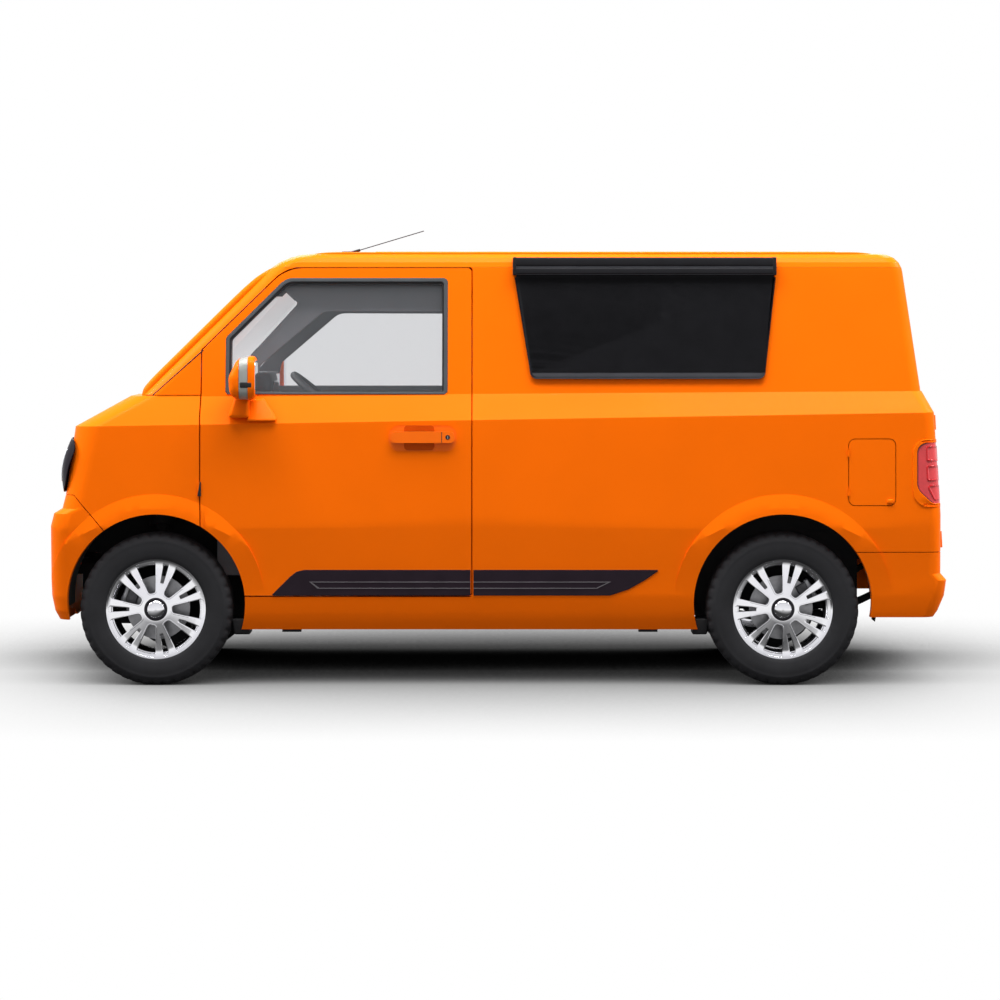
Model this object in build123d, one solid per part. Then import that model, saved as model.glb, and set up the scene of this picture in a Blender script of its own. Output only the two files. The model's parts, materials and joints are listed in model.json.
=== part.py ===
from build123d import *
import os
from math import cos, radians, sin, sqrt, tan

os.makedirs("parts", exist_ok=True)

# Electric microvan, millimetres, front towards -X, left side -Y, +Z up.
# The origin is on the ground at mid length.

# Wheels
FRONT_AXLE_X = -1259
REAR_AXLE_X = 1056
TYRE_R = 281
TYRE_WIDTH = 165
TYRE_BEAD_R = 166
WHEEL_Y = 640
RIM_FLANGE_R = 182
SPOKE_PAIRS = 7
SPINDLE_R = 15
RUN_GAP = 0.3

# Body
WALL = 45
ROOF_Z = 1597
ROOF_SEAM_Z = 1545
BELT_Z = 1069
SCREEN_BASE_X = -1332
SCREEN_BASE_Z = 1067
BOW = 14
GREEN_BOW = 12
PANEL_GAP = 3
DOOR_GAP = 5
ARCH_R = 329
ARCH_Z = 304
FLARE_R = 402
FLARE_OUT = 10
FLARE_SLOPE = 0.2
SWELL_FOOT_Z = 329
SWELL_FULL_Z = 586

# Front doors (skin outline, before the gap is taken off)
DOOR_FRONT_X = -1095
DOOR_REAR_X = -92
DOOR_BOTTOM_Z = 329
DOOR_A_Z = 1238
DOOR_B_X = -783
DOOR_TOP_R = 160
EDGE_SLANT = 0.25
DOOR_PIN_Y = 742
DOOR_PIN_R = 2.4
DOOR_OPEN_DEG = 68

# Rear doors
REAR_SILL_Z = 497
REAR_EDGE_Y = 640
REAR_PIN_R = 7

# Floor
CAB_FLOOR_Z = 320
CARGO_FLOOR_Z = 495
RISER_X = 20
HOUSE_R = 347
HOUSE_T = 8
FRONT_HOUSE_Y = 385
REAR_HOUSE_Y = 525
STEER_CLEAR_R = 340

# Rear leaf springs
SPRING_Y = 470
SPRING_L = 470
SPRING_HALF = 25
SPRING_CLEAR = 10

# Steering axis: foot and head of the inclined kingpin
PIN_FOOT_Y, PIN_FOOT_Z = 585, 200
PIN_HEAD_Y, PIN_HEAD_Z = 455, 650

# Lower body sections: z at front, z at rear, x front, x rear, half width,
# front corner radius, rear corner radius
LOWER = [
    (204, 204, -1612, 1596, 682, 60, 50),
    (240, 240, -1635, 1612, 697, 70, 50),
    (272, 272, -1652, 1634, 706, 75, 55),
    (329, 329, -1663, 1657, 716, 80, 55),
    (387, 387, -1665, 1665, 720, 80, 55),
    (412, 412, -1665, 1643, 722, 80, 55),
    (586, 586, -1665, 1642, 737, 80, 55),
    (633, 633, -1653, 1642, 736.7, 80, 55),
    (652, 652, -1622, 1641, 736.5, 82, 55),
    (701, 701, -1610, 1638, 736.1, 85, 55),
    (955, 1008, -1576, 1617, 734, 110, 50),
    (1067, 1086, -1376, 1578, 680, 110, 50),
]


def plan(x_front, x_rear, half, r_front, r_rear, bow):
    """Closed plan outline: bowed front, straight sides and rear, round corners."""
    left = (x_front + bow, -half)
    right = (x_front + bow, half)
    edges = ThreePointArc(right, (x_front, 0), left) + Polyline(left, (x_rear, -half), (x_rear, half), right)
    face = make_face(edges).face()
    face = face.fillet_2d(r_front, face.vertices().sort_by(Axis.X)[:2])
    return face.fillet_2d(r_rear, face.vertices().sort_by(Axis.X)[-2:])


def lower_body(inset, drop=0, top_drop=0, swell=0):
    """Ruled loft through the lower sections, taken in by inset; a swell fades out towards the sill."""
    faces = []
    for n, (zf, zr, xf, xr, half, rf, rr) in enumerate(LOWER):
        slope = (zr - zf) / (xr - xf)
        down = drop if n == 0 else top_drop if n == len(LOWER) - 1 else 0
        rise = (zf - SWELL_FOOT_Z) / (SWELL_FULL_Z - SWELL_FOOT_Z)
        i = inset - swell * min(max(rise, 0), 1)
        plane = Plane((0, 0, zf - slope * xf - down), x_dir=(1, 0, slope), z_dir=(-slope, 0, 1))
        outline = plan(xf + i, xr - i, half - i, max(rf - i, 14), max(rr - i, 14), BOW)
        faces.append(plane.location * outline)
    return loft(faces, ruled=True)


def green_front(z, i):
    r = 232 - i
    if z <= 1365 + r * sin(radians(45)):
        return SCREEN_BASE_X + (z - SCREEN_BASE_Z) + sqrt(2) * i
    return -706 - sqrt(max(r * r - (z - 1365) ** 2, 0))


def green_half(z, i=0):
    r = 65 - i
    if z <= 1532 + r * sin(radians(8.28)):
        return 680 - (z - 1075) * 0.1456 - i / cos(radians(8.28))
    return 547.8 + sqrt(max(r * r - (z - 1532) ** 2, 0))


def green_rear(z, i=0):
    r = 75 - i
    if z <= 1522 + r * sin(radians(7.6)):
        return 1574 - (z - 1084) * 0.1336 - i
    return 1439.8 + sqrt(max(r * r - (z - 1522) ** 2, 0))


def greenhouse(i, base, top=None):
    """Ruled loft of the cab and load space above the belt, taken in by i."""
    levels = [base, 1365 + (232 - i) * sin(radians(45))]
    levels += [1532 + (65 - i) * sin(radians(t)) for t in (10, 30, 50, 70, 89)]
    if top:
        levels = [base, top]
    faces = []
    for z in levels:
        outline = plan(green_front(z, i), green_rear(z, i), green_half(z, i), 70 - i * 0.6, max(45 - i, 14), GREEN_BOW)
        faces.append(Pos(0, 0, z) * outline)
    return loft(faces, ruled=True)


def box(x0, x1, y0, y1, z0, z1):
    return Pos((x0 + x1) / 2, (y0 + y1) / 2, (z0 + z1) / 2) * Box(x1 - x0, y1 - y0, z1 - z0)


def flat(points, radii=()):
    """Polygon face; radii pairs (index, r) round single corners."""
    face = make_face(Polyline(*points, close=True)).face()
    for index, r in radii:
        spot = Vector(*points[index])
        vertex = face.vertices().sort_by_distance(spot)[0]
        face = face.fillet_2d(r, [vertex])
    return face


def side_prism(points, y0, y1, radii=()):
    """Side-view (x, z) outline extruded across the car."""
    face = flat([(x, y0, z) for x, z in points], radii)
    return extrude(face, amount=y1 - y0, dir=(0, 1, 0))


def face_prism(points, x0, x1, radii=()):
    """Front-view (y, z) outline extruded along the car."""
    face = flat([(x0, y, z) for y, z in points], radii)
    return extrude(face, amount=x1 - x0, dir=(1, 0, 0))


def rod(start, end, r):
    line = Vector(*end) - Vector(*start)
    place = Plane(start, z_dir=line).location
    return place * Cylinder(r, line.length, align=(Align.CENTER, Align.CENTER, Align.MIN))


def flip(shape):
    return mirror(shape, about=Plane.XZ)


def solids(*shapes):
    found = []
    for shape in shapes:
        found += list(shape.solids())
    return Compound(children=found)


def biggest(shape):
    return shape.solids().sort_by(SortBy.VOLUME)[-1]


def save(name, shape):
    export_step(shape, f"parts/{name}.step")
    print(name, len(shape.solids()), round(shape.volume / 1e6, 3))


# Outer and inner body, and the shell between them
outer = lower_body(0) + greenhouse(0, 1040)
inner = lower_body(WALL, 80, 32) + greenhouse(WALL, 985)

swollen = lower_body(0.5, 0, 0, FLARE_OUT + 0.5)
arches = []
for axle in (FRONT_AXLE_X, REAR_AXLE_X):
    hub = Pos(axle, 0, ARCH_Z) * Rot(90, 0, 0)
    skin_y = max(row[4] for row in LOWER)
    ramp = (FLARE_R - ARCH_R) * FLARE_SLOPE
    flare = Cylinder(FLARE_R, 60, align=(Align.CENTER, Align.CENTER, Align.MAX))
    flare += Cone(FLARE_R, ARCH_R, ramp, align=(Align.CENTER, Align.CENTER, Align.MIN))
    flare = (hub * Pos(0, 0, skin_y) * flare) & swollen
    flare -= box(axle - 500, axle + 500, -900, 0, -100, SWELL_FOOT_Z)
    outer += flare + flip(flare)
    cut = hub * Pos(0, 0, 560) * Cylinder(ARCH_R, 300, align=(Align.CENTER, Align.CENTER, Align.MIN))
    arches += [cut, flip(cut)]

shell = outer - inner
for cut in arches:
    shell -= cut
shell -= box(-1800, FRONT_AXLE_X, -900, 900, 100, 240)
shell -= box(REAR_AXLE_X, 1800, -900, 900, 100, 250)

# Cutting regions
big = 2000
roof_region = box(-big, big, -big, big, ROOF_SEAM_Z, big)
bumper_side = [(-1720, 150), (-1720, 704), (-1560, 704), (-1455, 583), (-1300, 396), (-1300, 150)]
front_bumper_region = side_prism(bumper_side, -big, big)
mask_face = [(-638, 706), (638, 706), (638, 912), (-638, 912)]
mask_region = face_prism(mask_face, -1800, -1480, [(k, 80) for k in range(4)])
bonnet_region = box(-1700, -1381, -598, 598, 917, 1200)
cowl_region = box(-1375, -1200, -600, 600, 1000, 1092)
screen_face = [(-597, 1094), (597, 1094), (525, 1543), (-525, 1543)]
screen_region = face_prism(screen_face, -1500, -500, [(k, 40) for k in range(4)])
rear_bumper_region = box(REAR_AXLE_X, big, -big, big, 0, REAR_SILL_Z - 3)
rear_hole = [
    (-REAR_EDGE_Y, REAR_SILL_Z),
    (-REAR_EDGE_Y, 985),
    (-598, 1090),
    (-548, ROOF_SEAM_Z),
    (548, ROOF_SEAM_Z),
    (598, 1090),
    (REAR_EDGE_Y, 985),
    (REAR_EDGE_Y, REAR_SILL_Z),
]
rear_region = face_prism(rear_hole, 1400, 1800)
lamp_side = [(1546, 671), (1546, 897), (1750, 897), (1750, 671)]
lamp_region = side_prism(lamp_side, -900, -668, [(0, 22), (1, 22)])


def skin_half(z):
    """Half width of the outer skin at height z near mid length."""
    if z > 1075:
        return green_half(z)
    table = [(204, 682), (329, 716), (586, 737), (980, 734), (1075, 680)]
    for (z0, h0), (z1, h1) in zip(table, table[1:]):
        if z <= z1:
            return h0 + (h1 - h0) * (z - z0) / (z1 - z0)


def door_prism(g):
    """Left door outline taken in by g, with edges slanted so that it swings clear."""
    front, rear = DOOR_FRONT_X + g, DOOR_REAR_X - g
    bottom, top = DOOR_BOTTOM_Z + g, ROOF_SEAM_Z - g
    ax, az = front, DOOR_A_Z - g * 0.42
    bx = DOOR_B_X + g * 0.42
    skin = [(front, z) for z in (bottom, 586, 980, 1075)] + [(ax, az), (bx, top)]
    skin += [(rear, z) for z in (top, 1075, 980, 586, bottom)]
    points = [(x + EDGE_SLANT * (800 - skin_half(z)), z) for x, z in skin]
    face = flat([(x, -800, z) for x, z in points], [(5, DOOR_TOP_R), (6, 14), (0, 6), (10, 14)])
    return extrude(face, amount=sqrt(1 + EDGE_SLANT**2) * 260, dir=(-EDGE_SLANT, 1, 0))


window_points = [(-1006, 1078), (-1006, 1285), (-785, 1506), (-182, 1506), (-182, 1078)]
window_radii = [(0, 8), (1, 26), (2, 70), (3, 18), (4, 8)]
window_cut = side_prism(window_points, -900, -400, window_radii)

door_hole = door_prism(-DOOR_GAP / 2)
left_half = box(-big, big, -big, 0, -100, big)

# Front doors
shell_left = shell & left_half
inner_limit = [(-900, 200), (-900, 1600), (-565, 1600), (-565, 1545), (-633, 1075), (-633, 200)]
door = shell_left & door_prism(DOOR_GAP / 2) & face_prism(inner_limit, -1300, 100)
door = biggest(door - window_cut)
pin_x = DOOR_FRONT_X + DOOR_GAP / 2
hinge_heights = [(700, 752), (905, 957)]
door -= box(pin_x - 10, pin_x + 18, -800, -DOOR_PIN_Y + 0.5, 200, 1240)
for z0, z1 in hinge_heights:
    door -= rod((pin_x, -DOOR_PIN_Y, z0 - 1), (pin_x, -DOOR_PIN_Y, z1 + 1), DOOR_PIN_R + RUN_GAP)

# Handle recess in the door skin, and its handle
handle_plate = side_prism([(-399, 865), (-399, 960), (-148, 960), (-148, 865)], -760, -728, [(k, 40) for k in range(4)])
scoop = Pos(-285, -742, 913) * Rot(0, 0, 0) * Box(110, 56, 70)
door -= handle_plate & box(-500, 0, -745, -729, 800, 1000)
door -= scoop
handle = handle_plate & box(-500, 0, -733.2, -729, 800, 1000)
handle -= scoop
grip = side_prism([(-392, 896), (-392, 938), (-156, 938), (-156, 896)], -752, -742, [(k, 18) for k in range(4)])
grip += box(-388, -345, -742, -733, 900, 934) + box(-215, -160, -742, -733, 900, 934)
handle = biggest(handle + grip)

# Door glass: thin plane set in the window hole
tilt = [(-green_half(z) + d, z) for z, d in ((1060, 10), (1530, 10), (1530, 15), (1060, 15))]
glass_slab = face_prism(tilt, -1200, 0)
door_glass = biggest(glass_slab & window_cut)

# Door mirror: foot on the shoulder, arm, and the head in its housing
head = side_prism([(-980, 1054), (-980, 1217), (-883, 1217), (-883, 1054)], -880, -712, [(k, 22) for k in range(4)])
foot = side_prism([(-991, 990), (-991, 1064), (-906, 1064), (-906, 990)], -760, -650, [(0, 10), (3, 10)])
arm = box(-965, -915, -740, -690, 1040, 1075)
door_mirror = biggest((head + foot + arm) - lower_body(0) - greenhouse(0, 1040, 1500))

# Fenders with the door hinge pins
fender_region = box(-big, DOOR_FRONT_X + 30, -big, -603, 200, BELT_Z)
fender = (shell_left & fender_region) - front_bumper_region - mask_region - door_hole
fender = biggest(fender)
for z0, z1 in hinge_heights:
    fender += box(DOOR_FRONT_X - DOOR_GAP / 2 - 6, pin_x - 1.6, -DOOR_PIN_Y, -DOOR_PIN_Y + 7, z0, z1)
    fender += rod((pin_x, -DOOR_PIN_Y, z0), (pin_x, -DOOR_PIN_Y, z1), DOOR_PIN_R)
fender = biggest(fender)

# Rear hinge line, tilted with the rear face
hinge_low, hinge_high = (1646, -(REAR_EDGE_Y + 2), 541), (1623, -(REAR_EDGE_Y + 2), 967)


def on_hinge(z):
    t = (z - hinge_low[2]) / (hinge_high[2] - hinge_low[2])
    return (hinge_low[0] + t * (hinge_high[0] - hinge_low[0]), hinge_low[1], z)


rear_knuckles = [(505, 565), (942, 996)]

# Body sides with the roof pillars
side = shell_left - roof_region - box(-big, DOOR_FRONT_X + 30, -big, big, 0, BELT_Z + PANEL_GAP)
side = side - door_hole - screen_region - cowl_region - rear_region - rear_bumper_region
side -= lamp_region
side_keep = [s for s in side.solids() if s.volume > 3e5]
print("side solids", [round(s.volume / 1e6, 2) for s in side.solids()])
side = solids(*side_keep)

knuckle_rods = [rod(on_hinge(z0), on_hinge(z1), REAR_PIN_R) for z0, z1 in rear_knuckles]
jack_pads = [box(x - 35, x + 35, -676, -642, 194, 212) for x in (-760, 560)]
body_side = biggest(side)
for piece in knuckle_rods + jack_pads:
    body_side += piece
pillar = [s for s in side.solids() if s.volume < 10e6]
save("side_right", flip(solids(body_side, *pillar)))

# Charge flap in the left rear panel, hinged at its front edge
flap_points = [(1295, 663), (1295, 912), (1472, 912), (1472, 663)]
flap_cut = side_prism(flap_points, -800, -703, [(k, 26) for k in range(4)])
flap_in = [(1298, 666), (1298, 909), (1469, 909), (1469, 666)]
flap_solid = side_prism(flap_in, -800, -724, [(k, 23) for k in range(4)])
flap_pins = [(700, 730), (845, 875)]
flap = lower_body(0) & flap_solid
side_l = body_side - flap_cut
for z0, z1 in flap_pins:
    flap -= rod((1298, -738, z0 - 1), (1298, -738, z1 + 1), DOOR_PIN_R + RUN_GAP)
    side_l += box(1290, 1298, -738, -731, z0, z1) + rod((1298, -738, z0), (1298, -738, z1), DOOR_PIN_R)
side_l -= box(1298.01, 1320, -735, -700, 690, 885) & flap_solid
socket = rod((1384, -703, 788), (1384, -712, 788), 52) - rod((1384, -705, 788), (1384, -720, 788), 40)
socket += rod((1384, -703, 788), (1384, -710, 788), 16)
save("side_left", solids(biggest(side_l), *pillar))
save("charge_flap", biggest(flap))
save("charge_socket", biggest(socket))

save("front_fenders", solids(fender, flip(fender)))
for name, shape in (("door", door), ("door_glass", door_glass), ("door_mirror", door_mirror), ("door_handle", handle)):
    save(name + "_left", shape)
    save(name + "_right", flip(shape))

# Roof, cowl, bonnet and nose
save("roof_panel", biggest(shell & roof_region))
cowl = biggest((shell & cowl_region) - screen_region)
BONNET_PIN_X, BONNET_PIN_Z = -1381, 1064
bonnet = biggest(shell & bonnet_region)
for y in (-170, 170):
    cowl += box(BONNET_PIN_X + 1.6, BONNET_PIN_X + 12, y - 25, y + 25, BONNET_PIN_Z - 7, BONNET_PIN_Z)
    cowl += rod((BONNET_PIN_X, y - 25, BONNET_PIN_Z), (BONNET_PIN_X, y + 25, BONNET_PIN_Z), DOOR_PIN_R)
    bonnet -= rod((BONNET_PIN_X, y - 26, BONNET_PIN_Z), (BONNET_PIN_X, y + 26, BONNET_PIN_Z), DOOR_PIN_R + RUN_GAP)
save("cowl_panel", biggest(cowl))
save("bonnet", biggest(bonnet))
screen = (greenhouse(4, 1040) - greenhouse(10, 1020)) & screen_region
save("windscreen", biggest(screen))

bumper_in = [(-1720, 150), (-1720, 702), (-1562, 702), (-1457, 580), (-1302, 393), (-1302, 150)]
front_bumper = biggest(shell & side_prism(bumper_in, -big, big))
TOW_Y = -400
front_bumper += rod((-1636, TOW_Y, 450), (-1575, TOW_Y, 450), 26)
front_bumper -= rod((-1700, TOW_Y, 450), (-1640, TOW_Y, 450), 16)
front_bumper -= rod((-1650, TOW_Y, 450), (-1585, TOW_Y, 450), 9)
for s in (1, -1):
    inner_end, outer_end = (FRONT_AXLE_X, s * 430, ARCH_Z), (FRONT_AXLE_X, s * 660, ARCH_Z)
    front_bumper -= rod(inner_end, outer_end, STEER_CLEAR_R) & box(-big, FRONT_AXLE_X, -big, big, 0, 420)
save("front_bumper", biggest(front_bumper))

rear_bumper = biggest(shell & box(REAR_AXLE_X, big, -big, big, 0, REAR_SILL_Z - 6))
rear_bumper += rod((1630, TOW_Y, 340), (1570, TOW_Y, 340), 26)
rear_bumper -= rod((1700, TOW_Y, 340), (1640, TOW_Y, 340), 16)
rear_bumper -= rod((1650, TOW_Y, 340), (1580, TOW_Y, 340), 9)
spring_reach = SPRING_L + SPRING_CLEAR
spring_room = []
for s in (1, -1):
    y0, y1 = s * SPRING_Y - SPRING_HALF - SPRING_CLEAR, s * SPRING_Y + SPRING_HALF + SPRING_CLEAR
    spring_room.append(box(REAR_AXLE_X - spring_reach, REAR_AXLE_X + spring_reach, y0, y1, 0, CARGO_FLOOR_Z - 40))
for room in spring_room:
    rear_bumper -= room
save("rear_bumper", biggest(rear_bumper))

LAMP_Y, LAMP_Z, LAMP_R = 455, 809, 84
mask_in = [(-635, 709), (635, 709), (635, 909), (-635, 909)]
mask = shell & face_prism(mask_in, -1800, -1480, [(k, 77) for k in range(4)])
lamp_l = rod((-1700, -LAMP_Y, LAMP_Z), (-1450, -LAMP_Y, LAMP_Z), LAMP_R)
lamps = biggest(mask & lamp_l)
save("headlamps", solids(lamps, flip(lamps)))
save("nose_mask", biggest(mask - lamp_l - flip(lamp_l)))
tail = biggest(shell_left & lamp_region)
save("tail_lamps", solids(tail, flip(tail)))

# Rear doors: two leaves, hinged at the outer edges
leaf_points = [
    (-REAR_EDGE_Y + 5, REAR_SILL_Z + 5),
    (-REAR_EDGE_Y + 5, 987),
    (-593, 1091),
    (-543, ROOF_SEAM_Z - 5),
    (0, ROOF_SEAM_Z - 5),
    (0, REAR_SILL_Z + 5),
]
CENTRE_SLANT = 0.2
rear_skin = [(480, 1642), (586, 1642), (1008, 1617), (1086, 1576), (1560, 1510)]
centre = [(-6 + CENTRE_SLANT * (1720 - x), z) for z, x in rear_skin] + [(-900, 1560), (-900, 480)]
wedge_face = flat([(1720, y, z) for y, z in centre])
wedge = extrude(wedge_face, amount=300 * sqrt(1 + CENTRE_SLANT**2), dir=(-1, -CENTRE_SLANT, 0))
leaf_window = [(-548, 1112), (-508, 1490), (-62, 1490), (-62, 1112)]
leaf_window_cut = face_prism(leaf_window, 1300, 1800, [(k, 30) for k in range(4)])
leaf = biggest((shell_left & face_prism(leaf_points, 1400, 1800) & wedge) - leaf_window_cut)
for z0, z1 in rear_knuckles:
    leaf -= rod(on_hinge(z0 - 1), on_hinge(z1 + 1), REAR_PIN_R + RUN_GAP)
leaf = biggest(leaf)
pane = [(green_rear(z) - d, z) for z, d in ((1095, 10), (1510, 10), (1510, 15), (1095, 15))]
leaf_glass = biggest(side_prism(pane, -900, 0) & leaf_window_cut)
for name, shape in (("rear_door", leaf), ("rear_glass", leaf_glass)):
    save(name + "_left", shape)
    save(name + "_right", flip(shape))

# Side boards with their top rail
board = side_prism([(71, 1530), (126, 1131), (992, 1131), (1031, 1530)], -900, -400, [(1, 26), (2, 26)])
slab = [(-green_half(z) - d, z) for z, d in ((1120, 9), (1535, 9), (1535, -3), (1120, -3))]
rail = box(61, 1036, -648, -585, 1517, 1582)
side_board = biggest(((board & face_prism(slab, 0, 1100)) + rail) - greenhouse(0, 1040))
save("side_boards", solids(side_board, flip(side_board)))

antenna = rod((-536, 0, ROOF_Z), (-536, 0, ROOF_Z + 14), 17) + rod((-536, 0, 1604), (-270, 0, 1676), 2.5)
save("antenna", antenna)

# Floor pan with wheelhouses, riser, firewall and rails
toe_x = FRONT_AXLE_X + HOUSE_R + HOUSE_T - 1
floor = box(toe_x + 5, RISER_X + 35, -760, 760, CAB_FLOOR_Z - 35, CAB_FLOOR_Z)
floor += box(RISER_X, RISER_X + 35, -760, 760, CAB_FLOOR_Z - 35, CARGO_FLOOR_Z)
floor += box(RISER_X, 1592, -760, 760, CARGO_FLOOR_Z - 40, CARGO_FLOOR_Z)
floor += box(1540, 1680, -760, 760, 300, CARGO_FLOOR_Z - 20)
floor += box(toe_x, toe_x + 17, -760, 760, CAB_FLOOR_Z - 35, 700)
floor += box(-1345, toe_x + 17, -760, 760, 688, 700)
floor += box(-1240, -1228, -660, 660, 690, 1000)
for s in (1, -1):
    floor += box(-1720, toe_x + 15, s * 250 - 30, s * 250 + 30, 380, 460)
floor += box(-1720, -1560, -560, 560, 395, 445)
floor += box(-1590, -1540, -640, 640, 640, 720)
for s in (1, -1):
    floor += box(-1590, -1540, s * 250 - 30, s * 250 + 30, 440, 660)
pin_foot = (FRONT_AXLE_X, -PIN_FOOT_Y, PIN_FOOT_Z)


def on_pin(z):
    t = (z - PIN_FOOT_Z) / (PIN_HEAD_Z - PIN_FOOT_Z)
    return (FRONT_AXLE_X, -(PIN_FOOT_Y + t * (PIN_HEAD_Y - PIN_FOOT_Y)), z)


houses = []
voids = []
for axle, y_in in ((FRONT_AXLE_X, FRONT_HOUSE_Y), (REAR_AXLE_X, REAR_HOUSE_Y)):
    for s in (1, -1):
        start, stop = (axle, s * (y_in - HOUSE_T), ARCH_Z), (axle, s * 760, ARCH_Z)
        houses.append(rod(start, stop, HOUSE_R + HOUSE_T))
        voids.append(rod((axle, s * y_in, ARCH_Z), (axle, s * 800, ARCH_Z), HOUSE_R))
        voids.append(box(axle - HOUSE_R, axle + HOUSE_R, *sorted((s * y_in, s * 800)), 0, ARCH_Z))
for house in houses:
    floor += house & box(-1570, 1500, -800, 800, 200, 700)
for void in voids + spring_room:
    floor -= void
for piece in (rod(on_pin(560), on_pin(685), 60), flip(rod(on_pin(560), on_pin(685), 60))):
    floor -= piece
for wall in (REAR_HOUSE_Y, -REAR_HOUSE_Y):
    reach = HOUSE_R + HOUSE_T + 5
    floor -= box(REAR_AXLE_X - reach, REAR_AXLE_X + reach, wall - 12, wall + 12, 0, CARGO_FLOOR_Z - 40)
floor -= rod((-1700, TOW_Y, 450), (-1500, TOW_Y, 450), 30) + rod((1500, TOW_Y, 340), (1700, TOW_Y, 340), 30)
floor = floor & inner
for s in (1, -1):
    floor -= box(-1103, -84, *sorted((s * 662, s * 800)), 325, 1200)
floor -= box(1500, 1700, -645, 645, REAR_SILL_Z - 1, 600)
floor_solids = [s for s in floor.solids() if s.volume > 1e5]
print("floor", [round(s.volume / 1e6, 2) for s in floor.solids()])
save("floor_pan", solids(biggest(floor)))

save("bulkhead", biggest(inner & box(RISER_X + 4, RISER_X + 18, -760, 760, CARGO_FLOOR_Z, 1600)))
battery = box(RISER_X + 40, 640, -430, 430, 215, CARGO_FLOOR_Z - 40)
save("battery_pack", battery)

# Cab: dashboard, seats, steering
dash_points = [(-1226, 700), (-1226, 1000), (-1180, 1090), (-1020, 1100), (-900, 1080), (-860, 1020), (-884, 860), (-884, 700)]
dash = side_prism(dash_points, -625, 625, [(3, 60), (4, 40), (5, 30)])
save("dashboard", dash)
seat_points = [
    (-560, CAB_FLOOR_Z),
    (-590, 520),
    (-590, 600),
    (-250, 575),
    (-165, 1085),
    (-165, 1240),
    (-95, 1240),
    (-95, 1085),
    (-95, 560),
    (-120, CAB_FLOOR_Z),
]
seat = side_prism(seat_points, -560, -130, [(2, 40), (3, 30), (5, 25), (6, 25)])
save("seats", solids(seat, flip(seat)))

COLUMN_DIR = (0.643, 0, 0.766)
WHEEL_C = (-640, -340, 1030)


def on_column(d):
    return tuple(c + d * u for c, u in zip(WHEEL_C, COLUMN_DIR))


column = rod(on_column(-420), on_column(-30.3), 24) + rod(on_column(-330), on_column(-60), 38)
save("steering_column", biggest(column - dash))
grip_plane = Plane(WHEEL_C, x_dir=(0, 1, 0), z_dir=COLUMN_DIR).location
wheel = grip_plane * Torus(172, 14)
wheel += rod(on_column(-30), on_column(2), 42)
for turn in (0, 180, 270):
    wheel += grip_plane * Rot(0, 0, turn) * Pos(100, 0, -6) * Box(150, 34, 12)
save("steering_wheel", wheel)

# Road wheels: axis along local Z, outer face at +Z
half = TYRE_WIDTH / 2
tyre_side = [(TYRE_BEAD_R, 70), (183, 74), (225, half), (255, 80), (273, 71), (TYRE_R, 58)]
tyre_points = tyre_side + [(r, -z) for r, z in reversed(tyre_side)]
tyre = revolve(flat([(r, 0, z) for r, z in tyre_points]), Axis.Z)
RIM_R = TYRE_BEAD_R - RUN_GAP
rim_points = [(RIM_R - 8, -80), (RIM_FLANGE_R, -80), (RIM_FLANGE_R, -74.6), (RIM_R, -72), (RIM_R, 72)]
rim_points += [(RIM_FLANGE_R, 74.6), (RIM_FLANGE_R, 80), (RIM_R - 8, 80)]
rim = revolve(flat([(r, 0, z) for r, z in rim_points]), Axis.Z)
dish = [(0, 40), (46, 40), (110, 52), (RIM_R - 6, 58), (RIM_R - 6, 72), (110, 66), (46, 56), (0, 56)]
cover = revolve(flat([(r, 0, z) for r, z in dish]), Axis.Z)
window = flat([(58, -12, 0), (58, 12, 0), (152, 31, 0), (152, -31, 0)], [(0, 11), (1, 11), (2, 12), (3, 12)])
slot = flat([(98, -9, 0), (98, 9, 0), (152, 9, 0), (152, -9, 0)], [(k, 8) for k in range(4)])
step = 360 / SPOKE_PAIRS
for n in range(SPOKE_PAIRS):
    cover -= Rot(0, 0, 180 + n * step) * extrude(slot, amount=100, dir=(0, 0, 1))
    cover -= Rot(0, 0, 180 + (n + 0.5) * step) * extrude(window, amount=100, dir=(0, 0, 1))
rim = rim + cover + Pos(0, 0, 20) * Cylinder(44, 50) + Pos(0, 0, 58) * Cylinder(34, 12)
rim -= Pos(0, 0, 8) * Cylinder(SPINDLE_R + RUN_GAP, 60)
places = {"fl": FRONT_AXLE_X, "rl": REAR_AXLE_X}
for corner, axle in places.items():
    place = Pos(axle, -WHEEL_Y, TYRE_R) * Rot(90, 0, 0)
    for name, shape in (("tyre", tyre), ("rim", rim)):
        save(f"{name}_{corner}", place * shape)
        save(f"{name}_{corner[0]}r", flip(place * shape))

# Front suspension and the steered knuckles
knuckle = rod(on_pin(206), on_pin(440), 20)
knuckle += rod((FRONT_AXLE_X, -545, TYRE_R), (FRONT_AXLE_X, -612, TYRE_R), 40)
knuckle += rod((FRONT_AXLE_X, -600, TYRE_R), (FRONT_AXLE_X, -655, TYRE_R), SPINDLE_R)
knuckle += rod((FRONT_AXLE_X, -606, TYRE_R), (FRONT_AXLE_X, -612, TYRE_R), 80)
save("knuckle_left", knuckle)
save("knuckle_right", flip(knuckle))
strut = rod(on_pin(440.5), on_pin(680), 24) + rod(on_pin(575), on_pin(672), 48)
top_y = on_pin(683)[1]
strut += rod((FRONT_AXLE_X, top_y, 668), (FRONT_AXLE_X, top_y, 688), 40)
arm_l = box(FRONT_AXLE_X - 30, FRONT_AXLE_X + 30, -602, -260, 168, 186) + rod(on_pin(176), on_pin(205.4), 18)
frame = box(-1340, -1170, -300, 300, 168, 214)
for s in (1, -1):
    frame += box(-1310, -1200, s * 250 - 25, s * 250 + 25, 200, 380)
frame = frame + arm_l + flip(arm_l)
save("front_suspension", solids(frame, strut, flip(strut)))

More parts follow.
